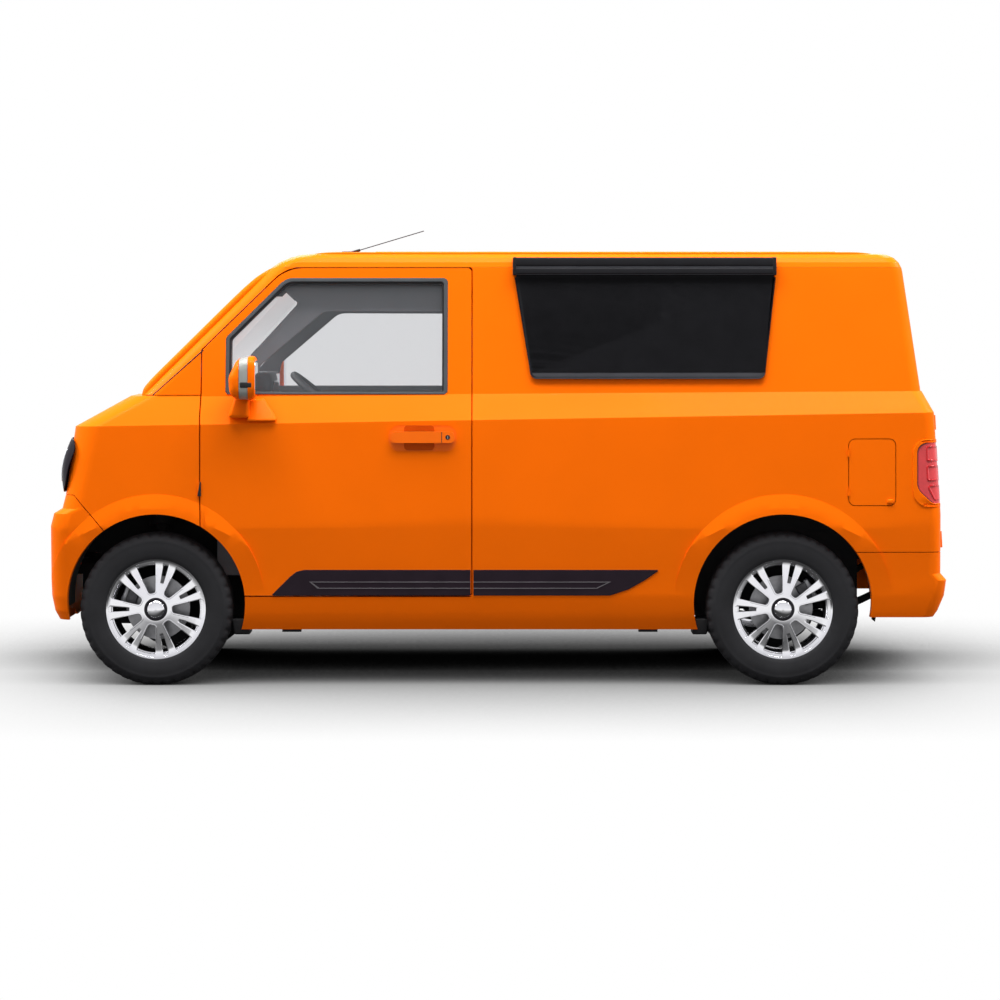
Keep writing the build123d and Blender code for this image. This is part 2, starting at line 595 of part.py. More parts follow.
# Rear axle with the drive unit, on two leaf springs
axle_rod = rod((REAR_AXLE_X, -600, TYRE_R), (REAR_AXLE_X, 600, TYRE_R), 38)
axle_rod += rod((REAR_AXLE_X, -655, TYRE_R), (REAR_AXLE_X, 655, TYRE_R), SPINDLE_R)
axle_rod += rod((REAR_AXLE_X, -170, TYRE_R), (REAR_AXLE_X, 150, TYRE_R), 110)
for s in (1, -1):
    axle_rod += rod((REAR_AXLE_X, s * 570, TYRE_R), (REAR_AXLE_X, s * 612, TYRE_R), 112)
save("rear_axle", axle_rod)
arc_top = ThreePointArc((REAR_AXLE_X - SPRING_L, 0, 400), (REAR_AXLE_X, 0, TYRE_R - 38), (REAR_AXLE_X + SPRING_L, 0, 400))
arc_low = ThreePointArc((REAR_AXLE_X + SPRING_L, 0, 380), (REAR_AXLE_X, 0, TYRE_R - 64), (REAR_AXLE_X - SPRING_L, 0, 380))
ends = Line((REAR_AXLE_X + SPRING_L, 0, 400), (REAR_AXLE_X + SPRING_L, 0, 380))
ends += Line((REAR_AXLE_X - SPRING_L, 0, 380), (REAR_AXLE_X - SPRING_L, 0, 400))
leaf_face = make_face(arc_top + arc_low + ends).face()
spring = extrude(leaf_face, amount=SPRING_HALF, dir=(0, 1, 0), both=True)
for x in (-SPRING_L + 20, SPRING_L - 20):
    spring += box(REAR_AXLE_X + x - 20, REAR_AXLE_X + x + 20, -SPRING_HALF, SPRING_HALF, 385, CARGO_FLOOR_Z - 40)
spring = Pos(0, -SPRING_Y, 0) * spring - axle_rod
save("leaf_springs", solids(biggest(spring), flip(biggest(spring))))
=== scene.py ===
import bpy
import bmesh
import json
import math
from mathutils import Matrix, Vector


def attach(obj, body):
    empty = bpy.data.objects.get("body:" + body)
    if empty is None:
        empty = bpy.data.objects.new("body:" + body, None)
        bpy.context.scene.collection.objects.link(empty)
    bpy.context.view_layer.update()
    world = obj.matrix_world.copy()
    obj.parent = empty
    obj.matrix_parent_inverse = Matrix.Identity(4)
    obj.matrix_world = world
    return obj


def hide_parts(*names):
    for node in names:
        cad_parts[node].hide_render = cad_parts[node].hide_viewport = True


# %% [markdown]
# A short electric van in orange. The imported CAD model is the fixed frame, and
# this lesson dresses it with paint, rubber, lamps, wheels, a cab and light.
# All lengths are metres. The front faces -X, the left side -Y, and +Z is up.

# %% Load the frame
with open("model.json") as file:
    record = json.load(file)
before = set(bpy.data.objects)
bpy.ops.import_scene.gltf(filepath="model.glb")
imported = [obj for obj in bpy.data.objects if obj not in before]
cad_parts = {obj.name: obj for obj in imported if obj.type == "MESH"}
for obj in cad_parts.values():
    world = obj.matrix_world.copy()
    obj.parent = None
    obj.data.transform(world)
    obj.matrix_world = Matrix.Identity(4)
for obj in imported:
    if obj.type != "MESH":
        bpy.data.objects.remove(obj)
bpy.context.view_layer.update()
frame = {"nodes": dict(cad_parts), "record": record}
nodes = frame["nodes"]
print("CAD nodes", len(nodes))

# %% [markdown]
# Body panels are curved, so trim can't be placed with one number. It could be
# shrink-wrapped onto them, but then it would dip into every panel gap. Three
# small tables repeat the body's own sections instead: half width of the sides,
# nose line and rear line by height. A trim piece then lies on the skin.

# %% Skin of the body
SIDE_LINE = [(0.204, 0.682), (0.24, 0.697), (0.272, 0.706), (0.329, 0.716), (0.387, 0.72), (0.412, 0.722),
             (0.586, 0.737), (0.98, 0.734), (1.075, 0.68), (1.541, 0.6122), (1.565, 0.6037), (1.58, 0.591)]
NOSE_LINE = [(0.24, -1.635), (0.272, -1.652), (0.329, -1.663), (0.387, -1.665), (0.586, -1.665),
             (0.633, -1.653), (0.652, -1.622), (0.701, -1.61), (0.955, -1.576), (1.067, -1.376)]
REAR_LINE = [(0.25, 1.618), (0.272, 1.634), (0.329, 1.657), (0.387, 1.665), (0.412, 1.643), (0.586, 1.642),
             (1.008, 1.617), (1.086, 1.5735), (1.52, 1.5157)]
NOSE_BOW, NOSE_HALF = 0.014, 0.73
BELT_Z, BELT_HALF, LEAN_IN = 1.075, 0.68, 0.1456
SCREEN_X, SCREEN_Z, SCREEN_BOW = -1.332, 1.067, 0.012
SLOPE_45 = 0.707


def on_line(line, z):
    for (z0, a), (z1, b) in zip(line, line[1:]):
        if z <= z1:
            return a + (b - a) * (z - z0) / (z1 - z0)
    return line[-1][1]


def left_skin(u, v, w):
    return (u, -on_line(SIDE_LINE, v) - w, v)


def nose_skin(u, v, w):
    return (on_line(NOSE_LINE, v) + NOSE_BOW * (u / NOSE_HALF) ** 2 - w, u, v)


def rear_skin(u, v, w):
    return (on_line(REAR_LINE, v) + w, u, v)


def upper_half(z):
    """Half width of the window zone, which leans in above the belt line."""
    return BELT_HALF - (z - BELT_Z) * LEAN_IN


def screen_x(z):
    """Front of the windscreen, which leans back at 45 degrees."""
    return SCREEN_X + (z - SCREEN_Z)


def screen_skin(u, v, w):
    bow = SCREEN_BOW * (u / upper_half(v)) ** 2
    return (screen_x(v) + 0.0057 + bow - w * SLOPE_45, u, v + w * SLOPE_45)


print("half width at the handle", round(on_line(SIDE_LINE, 0.915), 4))

# %% [markdown]
# Finishes come first, because each piece takes one. A flat colour would look
# like a toy, so every finish is a small node tree: a noise moves colour and
# gloss a little, and a finer noise gives grain to rubber, plastic and cloth.
# Numbers that are the same all over are set on the shader itself, so that they
# survive the export.

# %% Node helpers
def add(tree, kind, numbers=(), **settings):
    """New shader node with its settings, and numbers on its own sockets."""
    node = tree.nodes.new("ShaderNode" + kind)
    for key, value in settings.items():
        setattr(node, key, value)
    for socket, value in dict(numbers).items():
        node.inputs[socket].default_value = value
    return node


def wire(tree, *links):
    """Links nodes; each link is a node, its output, the next node and its input."""
    for start, out, end, into in links:
        tree.links.new(start.outputs[out], end.inputs[into])


def ramp(tree, *stops):
    """Colour ramp with two stops, each a position and a colour."""
    node = add(tree, "ValToRGB")
    for element, (position, colour) in zip(node.color_ramp.elements, stops):
        element.position = position
        element.color = (*colour, 1)
    return node


print("node helpers ready")

# %% Finish helper
SLOT_OF = {}


def finish(name, slot, colour, rough, metal=0.0, coat=0.0, vary=0.06, scale=14.0, spec=0.5, bump=0.0,
           grain=500.0):
    mat = bpy.data.materials.new(name)
    mat.use_nodes = True
    tree = mat.node_tree
    shader = tree.nodes["Principled BSDF"]
    coords = add(tree, "TexCoord")
    noise = add(tree, "TexNoise", {"Scale": scale, "Detail": 4})
    tint = ramp(tree, (0.3, [c * (1 - vary) for c in colour]),
                (0.7, [min(c * (1 + vary), 1) for c in colour]))
    gloss = add(tree, "MapRange", {"To Min": max(rough * 0.85, 0.01), "To Max": min(rough * 1.15, 1)})
    wire(tree, (coords, "Object", noise, "Vector"), (noise, "Fac", tint, "Fac"),
         (noise, "Fac", gloss, "Value"), (tint, "Color", shader, "Base Color"),
         (gloss, "Result", shader, "Roughness"))
    for socket, value in (("Metallic", metal), ("Coat Weight", coat), ("Coat Roughness", 0.05),
                          ("Specular IOR Level", spec)):
        shader.inputs[socket].default_value = value
    if bump:
        fine = add(tree, "TexNoise", {"Scale": grain})
        raised = add(tree, "Bump", {"Strength": bump, "Distance": 0.001})
        wire(tree, (coords, "Object", fine, "Vector"), (fine, "Fac", raised, "Height"),
             (raised, "Normal", shader, "Normal"))
    SLOT_OF[mat.name] = slot
    return mat


def lined(mat, name, direction, colour):
    """Copy of a paint; faces that look along direction show the grey lining of the inside."""
    new = mat.copy()
    new.name = name
    tree = new.node_tree
    shader = tree.nodes["Principled BSDF"]
    coords = next(n for n in tree.nodes if n.type == "TEX_COORD")
    painted = shader.inputs["Base Color"].links[0].from_node
    dot = add(tree, "VectorMath", {1: direction}, operation="DOT_PRODUCT")
    mask = add(tree, "Math", {1: 0.72}, operation="GREATER_THAN")
    mix = add(tree, "Mix", {"B": (*colour, 1)}, data_type="RGBA")
    wire(tree, (coords, "Normal", dot, 0), (dot, "Value", mask, 0), (mask, "Value", mix, "Factor"),
         (painted, "Color", mix, "A"), (mix, "Result", shader, "Base Color"))
    SLOT_OF[new.name] = SLOT_OF[mat.name]
    return new


def clear_sheet(name, slot, colour, clear):
    """See-through sheet with a thin tinted gloss layer."""
    mat = finish(name, slot, colour, 0.05, vary=0.03, scale=3)
    tree = mat.node_tree
    see = add(tree, "BsdfTransparent", {"Color": (0.965, 0.965, 0.97, 1)})
    mix = add(tree, "MixShader", {"Fac": 1 - clear})
    wire(tree, (see, "BSDF", mix, 1), (tree.nodes["Principled BSDF"], "BSDF", mix, 2),
         (mix, "Shader", tree.nodes["Material Output"], "Surface"))
    return mat


print("finish helpers ready")

# %% Paints and plastics
ORANGE = (0.87, 0.138, 0.0012)
LINING = (0.1, 0.1, 0.108)
paint = finish("paint", "orange", ORANGE, 0.36, coat=0.01, vary=0.02, scale=4, spec=0.03)
paint_left = lined(paint, "paint_left", (0, 1, 0), LINING)
paint_right = lined(paint, "paint_right", (0, -1, 0), LINING)
paint_rear = lined(paint, "paint_rear", (-1, 0, 0), LINING)
paint_roof = lined(paint, "paint_roof", (0, 0, -1), (0.16, 0.16, 0.165))
handle_paint = finish("handle_paint", "handle_orange", ORANGE, 0.3, coat=0.08, vary=0.02, spec=0.12)
# Darker orange for the finger recess at the handle: painted shade.
scoop_painted_shade = finish("scoop_painted_shade", "handle_orange", (0.5, 0.062, 0.0008), 0.4, vary=0.05, spec=0.06)
black_gloss = finish("black_gloss", "black", (0.01, 0.009, 0.012), 0.3, coat=0.05, spec=0.2)
lamp_smoke = finish("lamp_smoke", "black", (0.012, 0.01, 0.014), 0.35, spec=0.06)
black_board = finish("black_board", "black", (0.042, 0.043, 0.049), 0.7, vary=0.1, spec=0.1, bump=0.06)
rail_black = finish("rail_black", "black", (0.01, 0.01, 0.012), 0.5, vary=0.1, spec=0.12)
rubber = finish("rubber", "black", (0.05, 0.055, 0.06), 0.6, vary=0.1, spec=0.3, bump=0.1)
rubber_dark = finish("rubber_dark", "black", (0.006, 0.006, 0.007), 0.6, vary=0.1, spec=0.3)
strip_black = finish("strip_black", "black", (0.019, 0.012, 0.018), 0.6, vary=0.12, spec=0.1, bump=0.05)
strip_line = finish("strip_line", "black", (0.12, 0.11, 0.12), 0.5, vary=0.1, spec=0.3)
liner_grey = finish("liner_grey", "black", (0.14, 0.14, 0.145), 0.7, vary=0.2, spec=0.2, bump=0.2)
cab_grey = finish("cab_grey", "cab_plastic", (0.1, 0.1, 0.108), 0.65, vary=0.1, spec=0.3, bump=0.2)
cab_dark = finish("cab_dark", "cab_plastic", (0.03, 0.03, 0.033), 0.55, vary=0.12, spec=0.3, bump=0.2)
cab_pale = finish("cab_pale", "cab_plastic", (0.17, 0.17, 0.18), 0.8, vary=0.08, spec=0.2, bump=0.3)
# A pale plastic that glows a little, though it is no lamp: painted light for daylight behind the glass.
pillar_pale = finish("pillar_pale", "cab_plastic", (0.82, 0.82, 0.83), 0.6, vary=0.04, scale=6, spec=0.2)
for socket, value in (("Emission Color", (1, 1, 1, 1)), ("Emission Strength", 0.5)):
    pillar_pale.node_tree.nodes["Principled BSDF"].inputs[socket].default_value = value
screen_dark = finish("screen_dark", "cab_plastic", (0.006, 0.007, 0.009), 0.1, coat=0.4)
print("paints and plastics", len(SLOT_OF))

# %% Metals, cloth, lamps and glass
under = finish("under", "dark_steel", (0.012, 0.012, 0.013), 0.75, vary=0.25, spec=0.25, bump=0.15)
steel = finish("steel", "dark_steel", (0.3, 0.3, 0.31), 0.35, metal=0.9, vary=0.2, scale=30)
cast = finish("cast", "dark_steel", (0.1, 0.1, 0.105), 0.5, metal=0.7, vary=0.25, scale=40, bump=0.2)
alloy_case = finish("alloy_case", "battery", (0.32, 0.33, 0.35), 0.45, metal=0.8, vary=0.12, scale=30)
chrome = finish("chrome", "bright", (0.9, 0.9, 0.93), 0.1, metal=1.0, vary=0.03)
band_silver = finish("band_silver", "bright", (0.28, 0.29, 0.275), 0.5, metal=0.2, vary=0.06)
mirror_glass = finish("mirror_glass", "bright", (0.8, 0.82, 0.84), 0.03, metal=1.0, vary=0.02)
cloth = finish("cloth", "seat_cloth", (0.055, 0.055, 0.062), 0.92, vary=0.3, scale=90, spec=0.1, bump=0.6,
               grain=900)
cloth_edge = finish("cloth_edge", "seat_cloth", (0.02, 0.02, 0.022), 0.7, vary=0.2, scale=60, bump=0.3)
tyre_black = finish("tyre_black", "tyre", (0.02, 0.02, 0.022), 0.75, vary=0.12, spec=0.15, bump=0.12)
tail_lens = finish("tail_lens", "lamp_red", (0.6, 0.045, 0.05), 0.16, coat=0.2, vary=0.08, scale=40,
                   spec=0.3)
lamp_deep = finish("lamp_deep", "lamp_red", (0.5, 0.008, 0.012), 0.14, coat=0.2, vary=0.1, scale=60,
                   spec=0.3)
lamp_pale = finish("lamp_pale", "lamp_red", (0.68, 0.085, 0.095), 0.2, coat=0.2, vary=0.2, scale=50,
                   spec=0.3)
lamp_seam = finish("lamp_seam", "lamp_red", (0.12, 0.004, 0.006), 0.3, vary=0.1)
lamp_cover = clear_sheet("lamp_cover", "lamp_clear", (0.1, 0.1, 0.115), 0.6)
lamp_silver = finish("lamp_silver", "lamp_clear", (0.7, 0.7, 0.72), 0.2, metal=1.0)
lamp_white = finish("lamp_white", "lamp_clear", (0.85, 0.87, 0.9), 0.25, coat=0.4)
window_glass = clear_sheet("window_glass", "glass", (0.3, 0.32, 0.34), 0.91)
print("all finishes", len(SLOT_OF))

# %% [markdown]
# Trim is mostly thin pieces with a clear outline: seals, strips, frames. They
# could be modelled by hand, vertex by vertex. A filled 2D curve does it better,
# because it takes holes and a soft edge for free. It is turned into a mesh, and
# each point is then moved onto the skin.

# %% Helpers for outlines
def arc_corner(before, corner, after, r, steps=6):
    """Points of a round corner between two straight edges."""
    a, c, b = Vector(before), Vector(corner), Vector(after)
    u, v = (a - c).normalized(), (b - c).normalized()
    angle = u.angle(v)
    cut = min(r / math.tan(angle / 2), (a - c).length * 0.49, (b - c).length * 0.49)
    r = cut * math.tan(angle / 2)
    centre = c + (u + v).normalized() * (r / math.sin(angle / 2))
    start, end = c + u * cut - centre, c + v * cut - centre
    turn = (math.pi - angle) * (1 if start.cross(end) > 0 else -1)
    points = []
    for k in range(steps + 1):
        cos_t, sin_t = math.cos(turn * k / steps), math.sin(turn * k / steps)
        points.append((centre.x + start.x * cos_t - start.y * sin_t,
                       centre.y + start.x * sin_t + start.y * cos_t))
    return points


def rounded(points, radii, steps=6):
    """Closed outline with round corners; one radius, or one per corner."""
    n = len(points)
    radii = radii if hasattr(radii, "__len__") else [radii] * n
    out = []
    for k in range(n):
        out += arc_corner(points[k - 1], points[k], points[(k + 1) % n], radii[k], steps)
    return out


def rectangle(u0, u1, v0, v1, r):
    return rounded([(u0, v0), (u1, v0), (u1, v1), (u0, v1)], r)


def circle(u, v, r, steps=48):
    turns = [2 * math.pi * k / steps for k in range(steps)]
    return [(u + r * math.cos(t), v + r * math.sin(t)) for t in turns]


def grown(points, d):
    """Outline moved outwards by d, or inwards if d is negative."""
    n = len(points)
    turn = sum(points[k - 1][0] * points[k][1] - points[k][0] * points[k - 1][1] for k in range(n))
    sign = 1 if turn > 0 else -1
    out = []
    for k in range(n):
        a, c, b = Vector(points[k - 1]), Vector(points[k]), Vector(points[(k + 1) % n])
        u, v = (c - a).normalized(), (b - c).normalized()
        nu, nv = Vector((u.y, -u.x)) * sign, Vector((v.y, -v.x)) * sign
        m = (nu + nv).normalized()
        p = c + m * (d / max(m.dot(nu), 0.3))
        out.append((p.x, p.y))
    return out


def dense(points, step=0.03):
    """Outline with extra points, so that it can follow a curved skin."""
    out = []
    for k in range(len(points)):
        a, b = Vector(points[k]), Vector(points[(k + 1) % len(points)])
        count = max(int((b - a).length / step), 1)
        out += [tuple(a.lerp(b, j / count)) for j in range(count)]
    return out


print("outline helpers ready")

# %% Helpers for pieces
BODY_OF = {}
made = []


def keep(obj, mat, body):
    """Gives a piece its finish and the body it rides on."""
    obj.data.materials.clear()
    obj.data.materials.append(mat)
    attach(obj, body)
    BODY_OF[obj.name] = body
    made.append(obj.name)
    return obj


def told(what):
    """Prints how many pieces were made since the last count."""
    print(what, len(made))
    made.clear()


def clean(obj, angle=35):
    """Welds, turns normals outwards and smooths below an angle."""
    bm = bmesh.new()
    bm.from_mesh(obj.data)
    bmesh.ops.remove_doubles(bm, verts=bm.verts, dist=1e-5)
    bmesh.ops.recalc_face_normals(bm, faces=bm.faces)
    for face in bm.faces:
        face.smooth = True
    for edge in bm.edges:
        if len(edge.link_faces) == 2:
            edge.smooth = edge.calc_face_angle() < math.radians(angle)
    bm.to_mesh(obj.data)
    bm.free()
    return obj


def new_object(name, data):
    obj = bpy.data.objects.new(name, data)
    bpy.context.scene.collection.objects.link(obj)
    return obj


def from_points(name, verts, faces, angle=35):
    data = bpy.data.meshes.new(name)
    data.from_pydata([tuple(v) for v in verts], [], faces)
    return clean(new_object(name, data), angle)


def loft(name, rows, ring=False, closed=False, caps=(), angle=35):
    """Mesh through rows of points; ring joins last row and first, closed joins the ends of each row."""
    count, n = len(rows), len(rows[0])
    faces = []
    for k in range(count if ring else count - 1):
        a, b = k * n, (k + 1) % count * n
        faces += [(a + j, a + (j + 1) % n, b + (j + 1) % n, b + j) for j in range(n if closed else n - 1)]
    faces += [tuple(k % count * n + j for j in range(n)) for k in caps]
    return from_points(name, [point for row in rows for point in row], faces, angle)


def meshed(name, curve):
    """Mesh object made from a curve."""
    raw = new_object(name + "_curve", curve)
    bpy.context.view_layer.update()
    data = bpy.data.meshes.new_from_object(raw.evaluated_get(bpy.context.evaluated_depsgraph_get()))
    bpy.data.objects.remove(raw)
    data.name = name
    return new_object(name, data)


def pair(obj):
    """Right-hand twin of a left piece, on the right-hand body if its own is a left one."""
    data = obj.data.copy()
    data.transform(Matrix.Scale(-1, 4, (0, 1, 0)))
    data.flip_normals()
    twin = new_object(obj.name.replace("left", "right"), data)
    return keep(twin, obj.data.materials[0], BODY_OF[obj.name].replace("left", "right"))


print("piece helpers ready")

# %% Plates, rods and blocks
def folded(obj, folds):
    """Cuts a flat filled outline along lines, so that it can bend there."""
    bm = bmesh.new()
    bm.from_mesh(obj.data)
    for point, across in folds:
        everything = bm.verts[:] + bm.edges[:] + bm.faces[:]
        bmesh.ops.bisect_plane(bm, geom=everything, plane_co=point, plane_no=across)
    bm.to_mesh(obj.data)
    bm.free()


def plate(name, loops, thick, place, mat, body, bevel=0.001, sink=0.0, folds=()):
    """Filled outline (first loop) with holes (other loops), thick along w from -sink outwards."""
    curve = bpy.data.curves.new(name, "CURVE")
    curve.dimensions = "2D"
    curve.fill_mode = "BOTH"
    for loop in loops:
        spline = curve.splines.new("POLY")
        spline.points.add(len(loop) - 1)
        for point, (u, v) in zip(spline.points, loop):
            point.co = (u, v, 0, 1)
        spline.use_cyclic_u = True
    bevel = min(bevel, thick * 0.45)
    curve.extrude = thick / 2 - bevel
    curve.bevel_depth = bevel
    curve.bevel_resolution = 1
    curve.offset = -bevel
    obj = meshed(name, curve)
    folded(obj, folds)
    for vertex in obj.data.vertices:
        vertex.co = place(vertex.co.x, vertex.co.y, vertex.co.z + thick / 2 - sink)
    return keep(clean(obj, 18), mat, body)


def tube(name, points, r, mat, body, smooth=False):
    """Round rod along points; smooth bends it through them."""
    curve = bpy.data.curves.new(name, "CURVE")
    curve.dimensions = "3D"
    spline = curve.splines.new("NURBS" if smooth else "POLY")
    spline.points.add(len(points) - 1)
    for point, co in zip(spline.points, points):
        point.co = (*co, 1)
    if smooth:
        spline.order_u = 3
        spline.use_endpoint_u = True
    curve.bevel_depth = r
    curve.bevel_resolution = 3
    curve.use_fill_caps = True
    return keep(clean(meshed(name, curve), 50), mat, body)


def block(name, low, high, mat, body, bevel=0.004, shape=None):
    """Box with soft edges; shape may move its points."""
    bm = bmesh.new()
    bmesh.ops.create_cube(bm, size=1)
    for vertex in bm.verts:
        vertex.co = [low[k] + (vertex.co[k] + 0.5) * (high[k] - low[k]) for k in range(3)]
    size = min(high[k] - low[k] for k in range(3))
    bmesh.ops.bevel(bm, geom=bm.edges[:], offset=min(bevel, size * 0.45), segments=3, profile=0.5,
                    affect="EDGES")
    if shape:
        for vertex in bm.verts:
            vertex.co = shape(vertex.co)
    data = bpy.data.meshes.new(name)
    bm.to_mesh(data)
    bm.free()
    return keep(clean(new_object(name, data), 50), mat, body)


print("plates, rods and blocks ready")

# %% [markdown]
# The CAD panels are the van's pressed sheet and moulded plastic, and they keep
# their shape. A weld joins their faces, a small bevel gives each panel edge a
# highlight, and a node group smooths below an angle. All three are modifiers,
# because the solids themselves are not to be touched.

# %% Smoothing for CAD panels
def smooth_group(limit):
    """Node group: smooth faces, with edges sharper than the limit kept sharp."""
    group = bpy.data.node_groups.new("smooth_by_angle", "GeometryNodeTree")
    for way in ("INPUT", "OUTPUT"):
        group.interface.new_socket("Geometry", in_out=way, socket_type="NodeSocketGeometry")
    start, end = group.nodes.new("NodeGroupInput"), group.nodes.new("NodeGroupOutput")
    faces, edges = (group.nodes.new("GeometryNodeSetShadeSmooth") for _ in range(2))
    faces.domain, edges.domain = "FACE", "EDGE"
    angle = group.nodes.new("GeometryNodeInputMeshEdgeAngle")
    test = group.nodes.new("FunctionNodeCompare")
    test.operation = "LESS_THAN"
    test.inputs["B"].default_value = math.radians(limit)
    wire(group, (start, 0, faces, "Geometry"), (faces, 0, edges, "Geometry"),
         (angle, "Unsigned Angle", test, "A"), (test, "Result", edges, "Shade Smooth"), (edges, 0, end, 0))
    return group


smooth = smooth_group(17)
print("smoothing ready")

# %% Finishes of the CAD panels
SLOT_FINISH = {
    "orange": paint, "handle_orange": handle_paint, "glass": window_glass, "black": black_gloss,
    "lamp_clear": lamp_cover, "lamp_red": tail_lens, "dark_steel": under, "battery": alloy_case,
    "cab_plastic": cab_grey, "seat_cloth": cloth, "tyre": tyre_black, "bright": chrome,
}
NODE_FINISH = {
    "side_left": paint_left, "door_left": paint_left, "side_right": paint_right, "door_right": paint_right,
    "rear_door_left": paint_rear, "rear_door_right": paint_rear, "roof_panel": paint_roof,
    "side_boards": black_board, "rear_axle": cast, "knuckle_left": cast, "knuckle_right": cast,
    "steering_wheel": cab_dark, "steering_column": cab_dark,
}
EDGE_MM = {"orange": 2.0, "black": 1.5, "handle_orange": 2.0, "lamp_red": 2.0, "cab_plastic": 3.0,
           "bright": 1.5}
slot_of_node = {s["node"]: s["material_slot"] for s in frame["record"]["subparts"]}
for name, obj in nodes.items():
    slot = slot_of_node[name]
    obj.data.materials.clear()
    obj.data.materials.append(NODE_FINISH.get(name, SLOT_FINISH[slot]))
    if "custom_normal" in obj.data.attributes:
        obj.data.attributes.remove(obj.data.attributes["custom_normal"])
    obj.modifiers.new("weld", "WELD").merge_threshold = 2e-5
    if slot in EDGE_MM:
        edge = obj.modifiers.new("edge", "BEVEL")
        edge.width = EDGE_MM[slot] / 1000
        edge.segments = 2
        edge.limit_method = "ANGLE"
        edge.angle_limit = math.radians(40)
    obj.modifiers.new("smooth", "NODES").node_group = smooth
    obj.modifiers.new("weighted", "WEIGHTED_NORMAL").keep_sharp = True
print("panels dressed", len(nodes))

# %% [markdown]
# The underside of the sills and the small door hinges are dark on the real van,
# but here they belong to painted solids. Thin plates could cover them. It is
# simpler to give just those faces a second finish, found by where they lie.

# %% Dark faces of sills and hinges
SILL_FOOT_Z = 0.2035
HINGE_X, HINGE_Y, HINGE_Z0, HINGE_Z1 = -1.0925, 0.7375, 0.69, 0.76


def at_sill(spot):
    return spot.z < SILL_FOOT_Z


def at_hinge(spot):
    return abs(spot.x - HINGE_X) < 0.0075 and abs(spot.y) > HINGE_Y and HINGE_Z0 < spot.z < HINGE_Z1


for name, mat, chosen in (("side_left", under, at_sill), ("side_right", under, at_sill),
                          ("front_fenders", rubber_dark, at_hinge)):
    data = nodes[name].data
    data.materials.append(mat)
    dark = [face for face in data.polygons if chosen(face.center)]
    for face in dark:
        face.material_index = 1
    print(name, "dark faces", len(dark))

# %% [markdown]
# The road wheels are the eye-catcher: a chrome cover with seven pairs of
# spokes. Spokes could be modelled one by one and joined to a ring. Here the
# cover is turned as a solid dish, and one cutter with all windows and slots is
# taken out of it, which keeps the rims of the holes crisp.

# %% Turned rows and the cover's dish
PAIRS = 7
HUB_Z, HUB_Y = 0.281, 0.64
AXLE_X = {"f": -1.259, "r": 1.056}
DISH = [(0.03, 0.058), (0.03, 0.0775), (0.046, 0.0775), (0.058, 0.0762), (0.09, 0.0735), (0.12, 0.0712),
        (0.15, 0.0692), (0.168, 0.069), (0.1765, 0.0708), (0.182, 0.0732), (0.1838, 0.0745),
        (0.1838, 0.058), (0.15, 0.054), (0.1, 0.056), (0.03, 0.058)]


def turned(line_at, steps, shift=0.0):
    """Rows about the Y axis, outer side towards -Y; line_at gives (radius, outwards) at each step."""
    rows = []
    for k in range(steps):
        t = 2 * math.pi * (k + shift) / steps
        rows.append([(r * math.cos(t), -w, r * math.sin(t)) for r, w in line_at(k)])
    return rows


def lathe(name, profile, centre, mat, body, steps=72, angle=35, side=-1):
    """Profile turned about a wheel axis at centre; outwards is side times Y."""
    rows = [[(centre[0] + x, centre[1] - side * y, centre[2] + z) for x, y, z in row]
            for row in turned(lambda k: profile, steps)]
    return keep(loft(name, rows, ring=True, angle=angle), mat, body)


cover = loft("cover", turned(lambda k: DISH, 168, 0.5), ring=True)
print("dish points", len(cover.data.vertices))

# %% Windows and slots of the cover
def cutter_mesh(outlines):
    """Prisms along Y from (radial, sideways) outlines, each turned by its own angle."""
    verts, faces = [], []
    for outline, turn in outlines:
        c, s = math.cos(turn), math.sin(turn)
        base, n = len(verts), len(outline)
        for y in (-0.2, 0.2):
            verts += [(u * c - v * s, y, u * s + v * c) for u, v in outline]
        faces.append(tuple(base + k for k in range(n)))
        faces.append(tuple(base + n + k for k in reversed(range(n))))
        faces += [(base + k, base + n + k, base + n + (k + 1) % n, base + (k + 1) % n) for k in range(n)]
    return from_points("cutter", verts, faces)


window_out = rounded([(0.06, -0.012), (0.06, 0.012), (0.1, 0.0215), (0.1745, 0.038), (0.1772, 0.0),
                      (0.1745, -0.038), (0.1, -0.0215)], [0.011, 0.011, 0.03, 0.008, 0.2, 0.008, 0.03])
slot_out = rounded([(0.098, -0.0065), (0.098, 0.0065), (0.1748, 0.0105), (0.1748, -0.0105)], 0.003, 3)
slot_turns = [math.pi + 2 * math.pi * n / PAIRS for n in range(PAIRS)]
window_turns = [turn + math.pi / PAIRS for turn in slot_turns]
cuts = [(slot_out, turn) for turn in slot_turns] + [(window_out, turn) for turn in window_turns]
cutter = cutter_mesh(cuts)
cut = cover.modifiers.new("cut", "BOOLEAN")
cut.object = cutter
cut.solver = "EXACT"
edge = cover.modifiers.new("edge", "BEVEL")
edge.width = 0.0022
edge.segments = 2
edge.limit_method = "ANGLE"
edge.angle_limit = math.radians(50)
bpy.context.view_layer.update()
cover_data = bpy.data.meshes.new_from_object(cover.evaluated_get(bpy.context.evaluated_depsgraph_get()))
bpy.data.objects.remove(cover)
bpy.data.objects.remove(cutter)
print("cover faces", len(cover_data.polygons))

# %% [markdown]
# The tyre is turned too. A displaced texture could cut its tread, but that
# needs a very fine mesh. Instead each step around gets its own section, and two
# steps in six are notches in the shoulder.

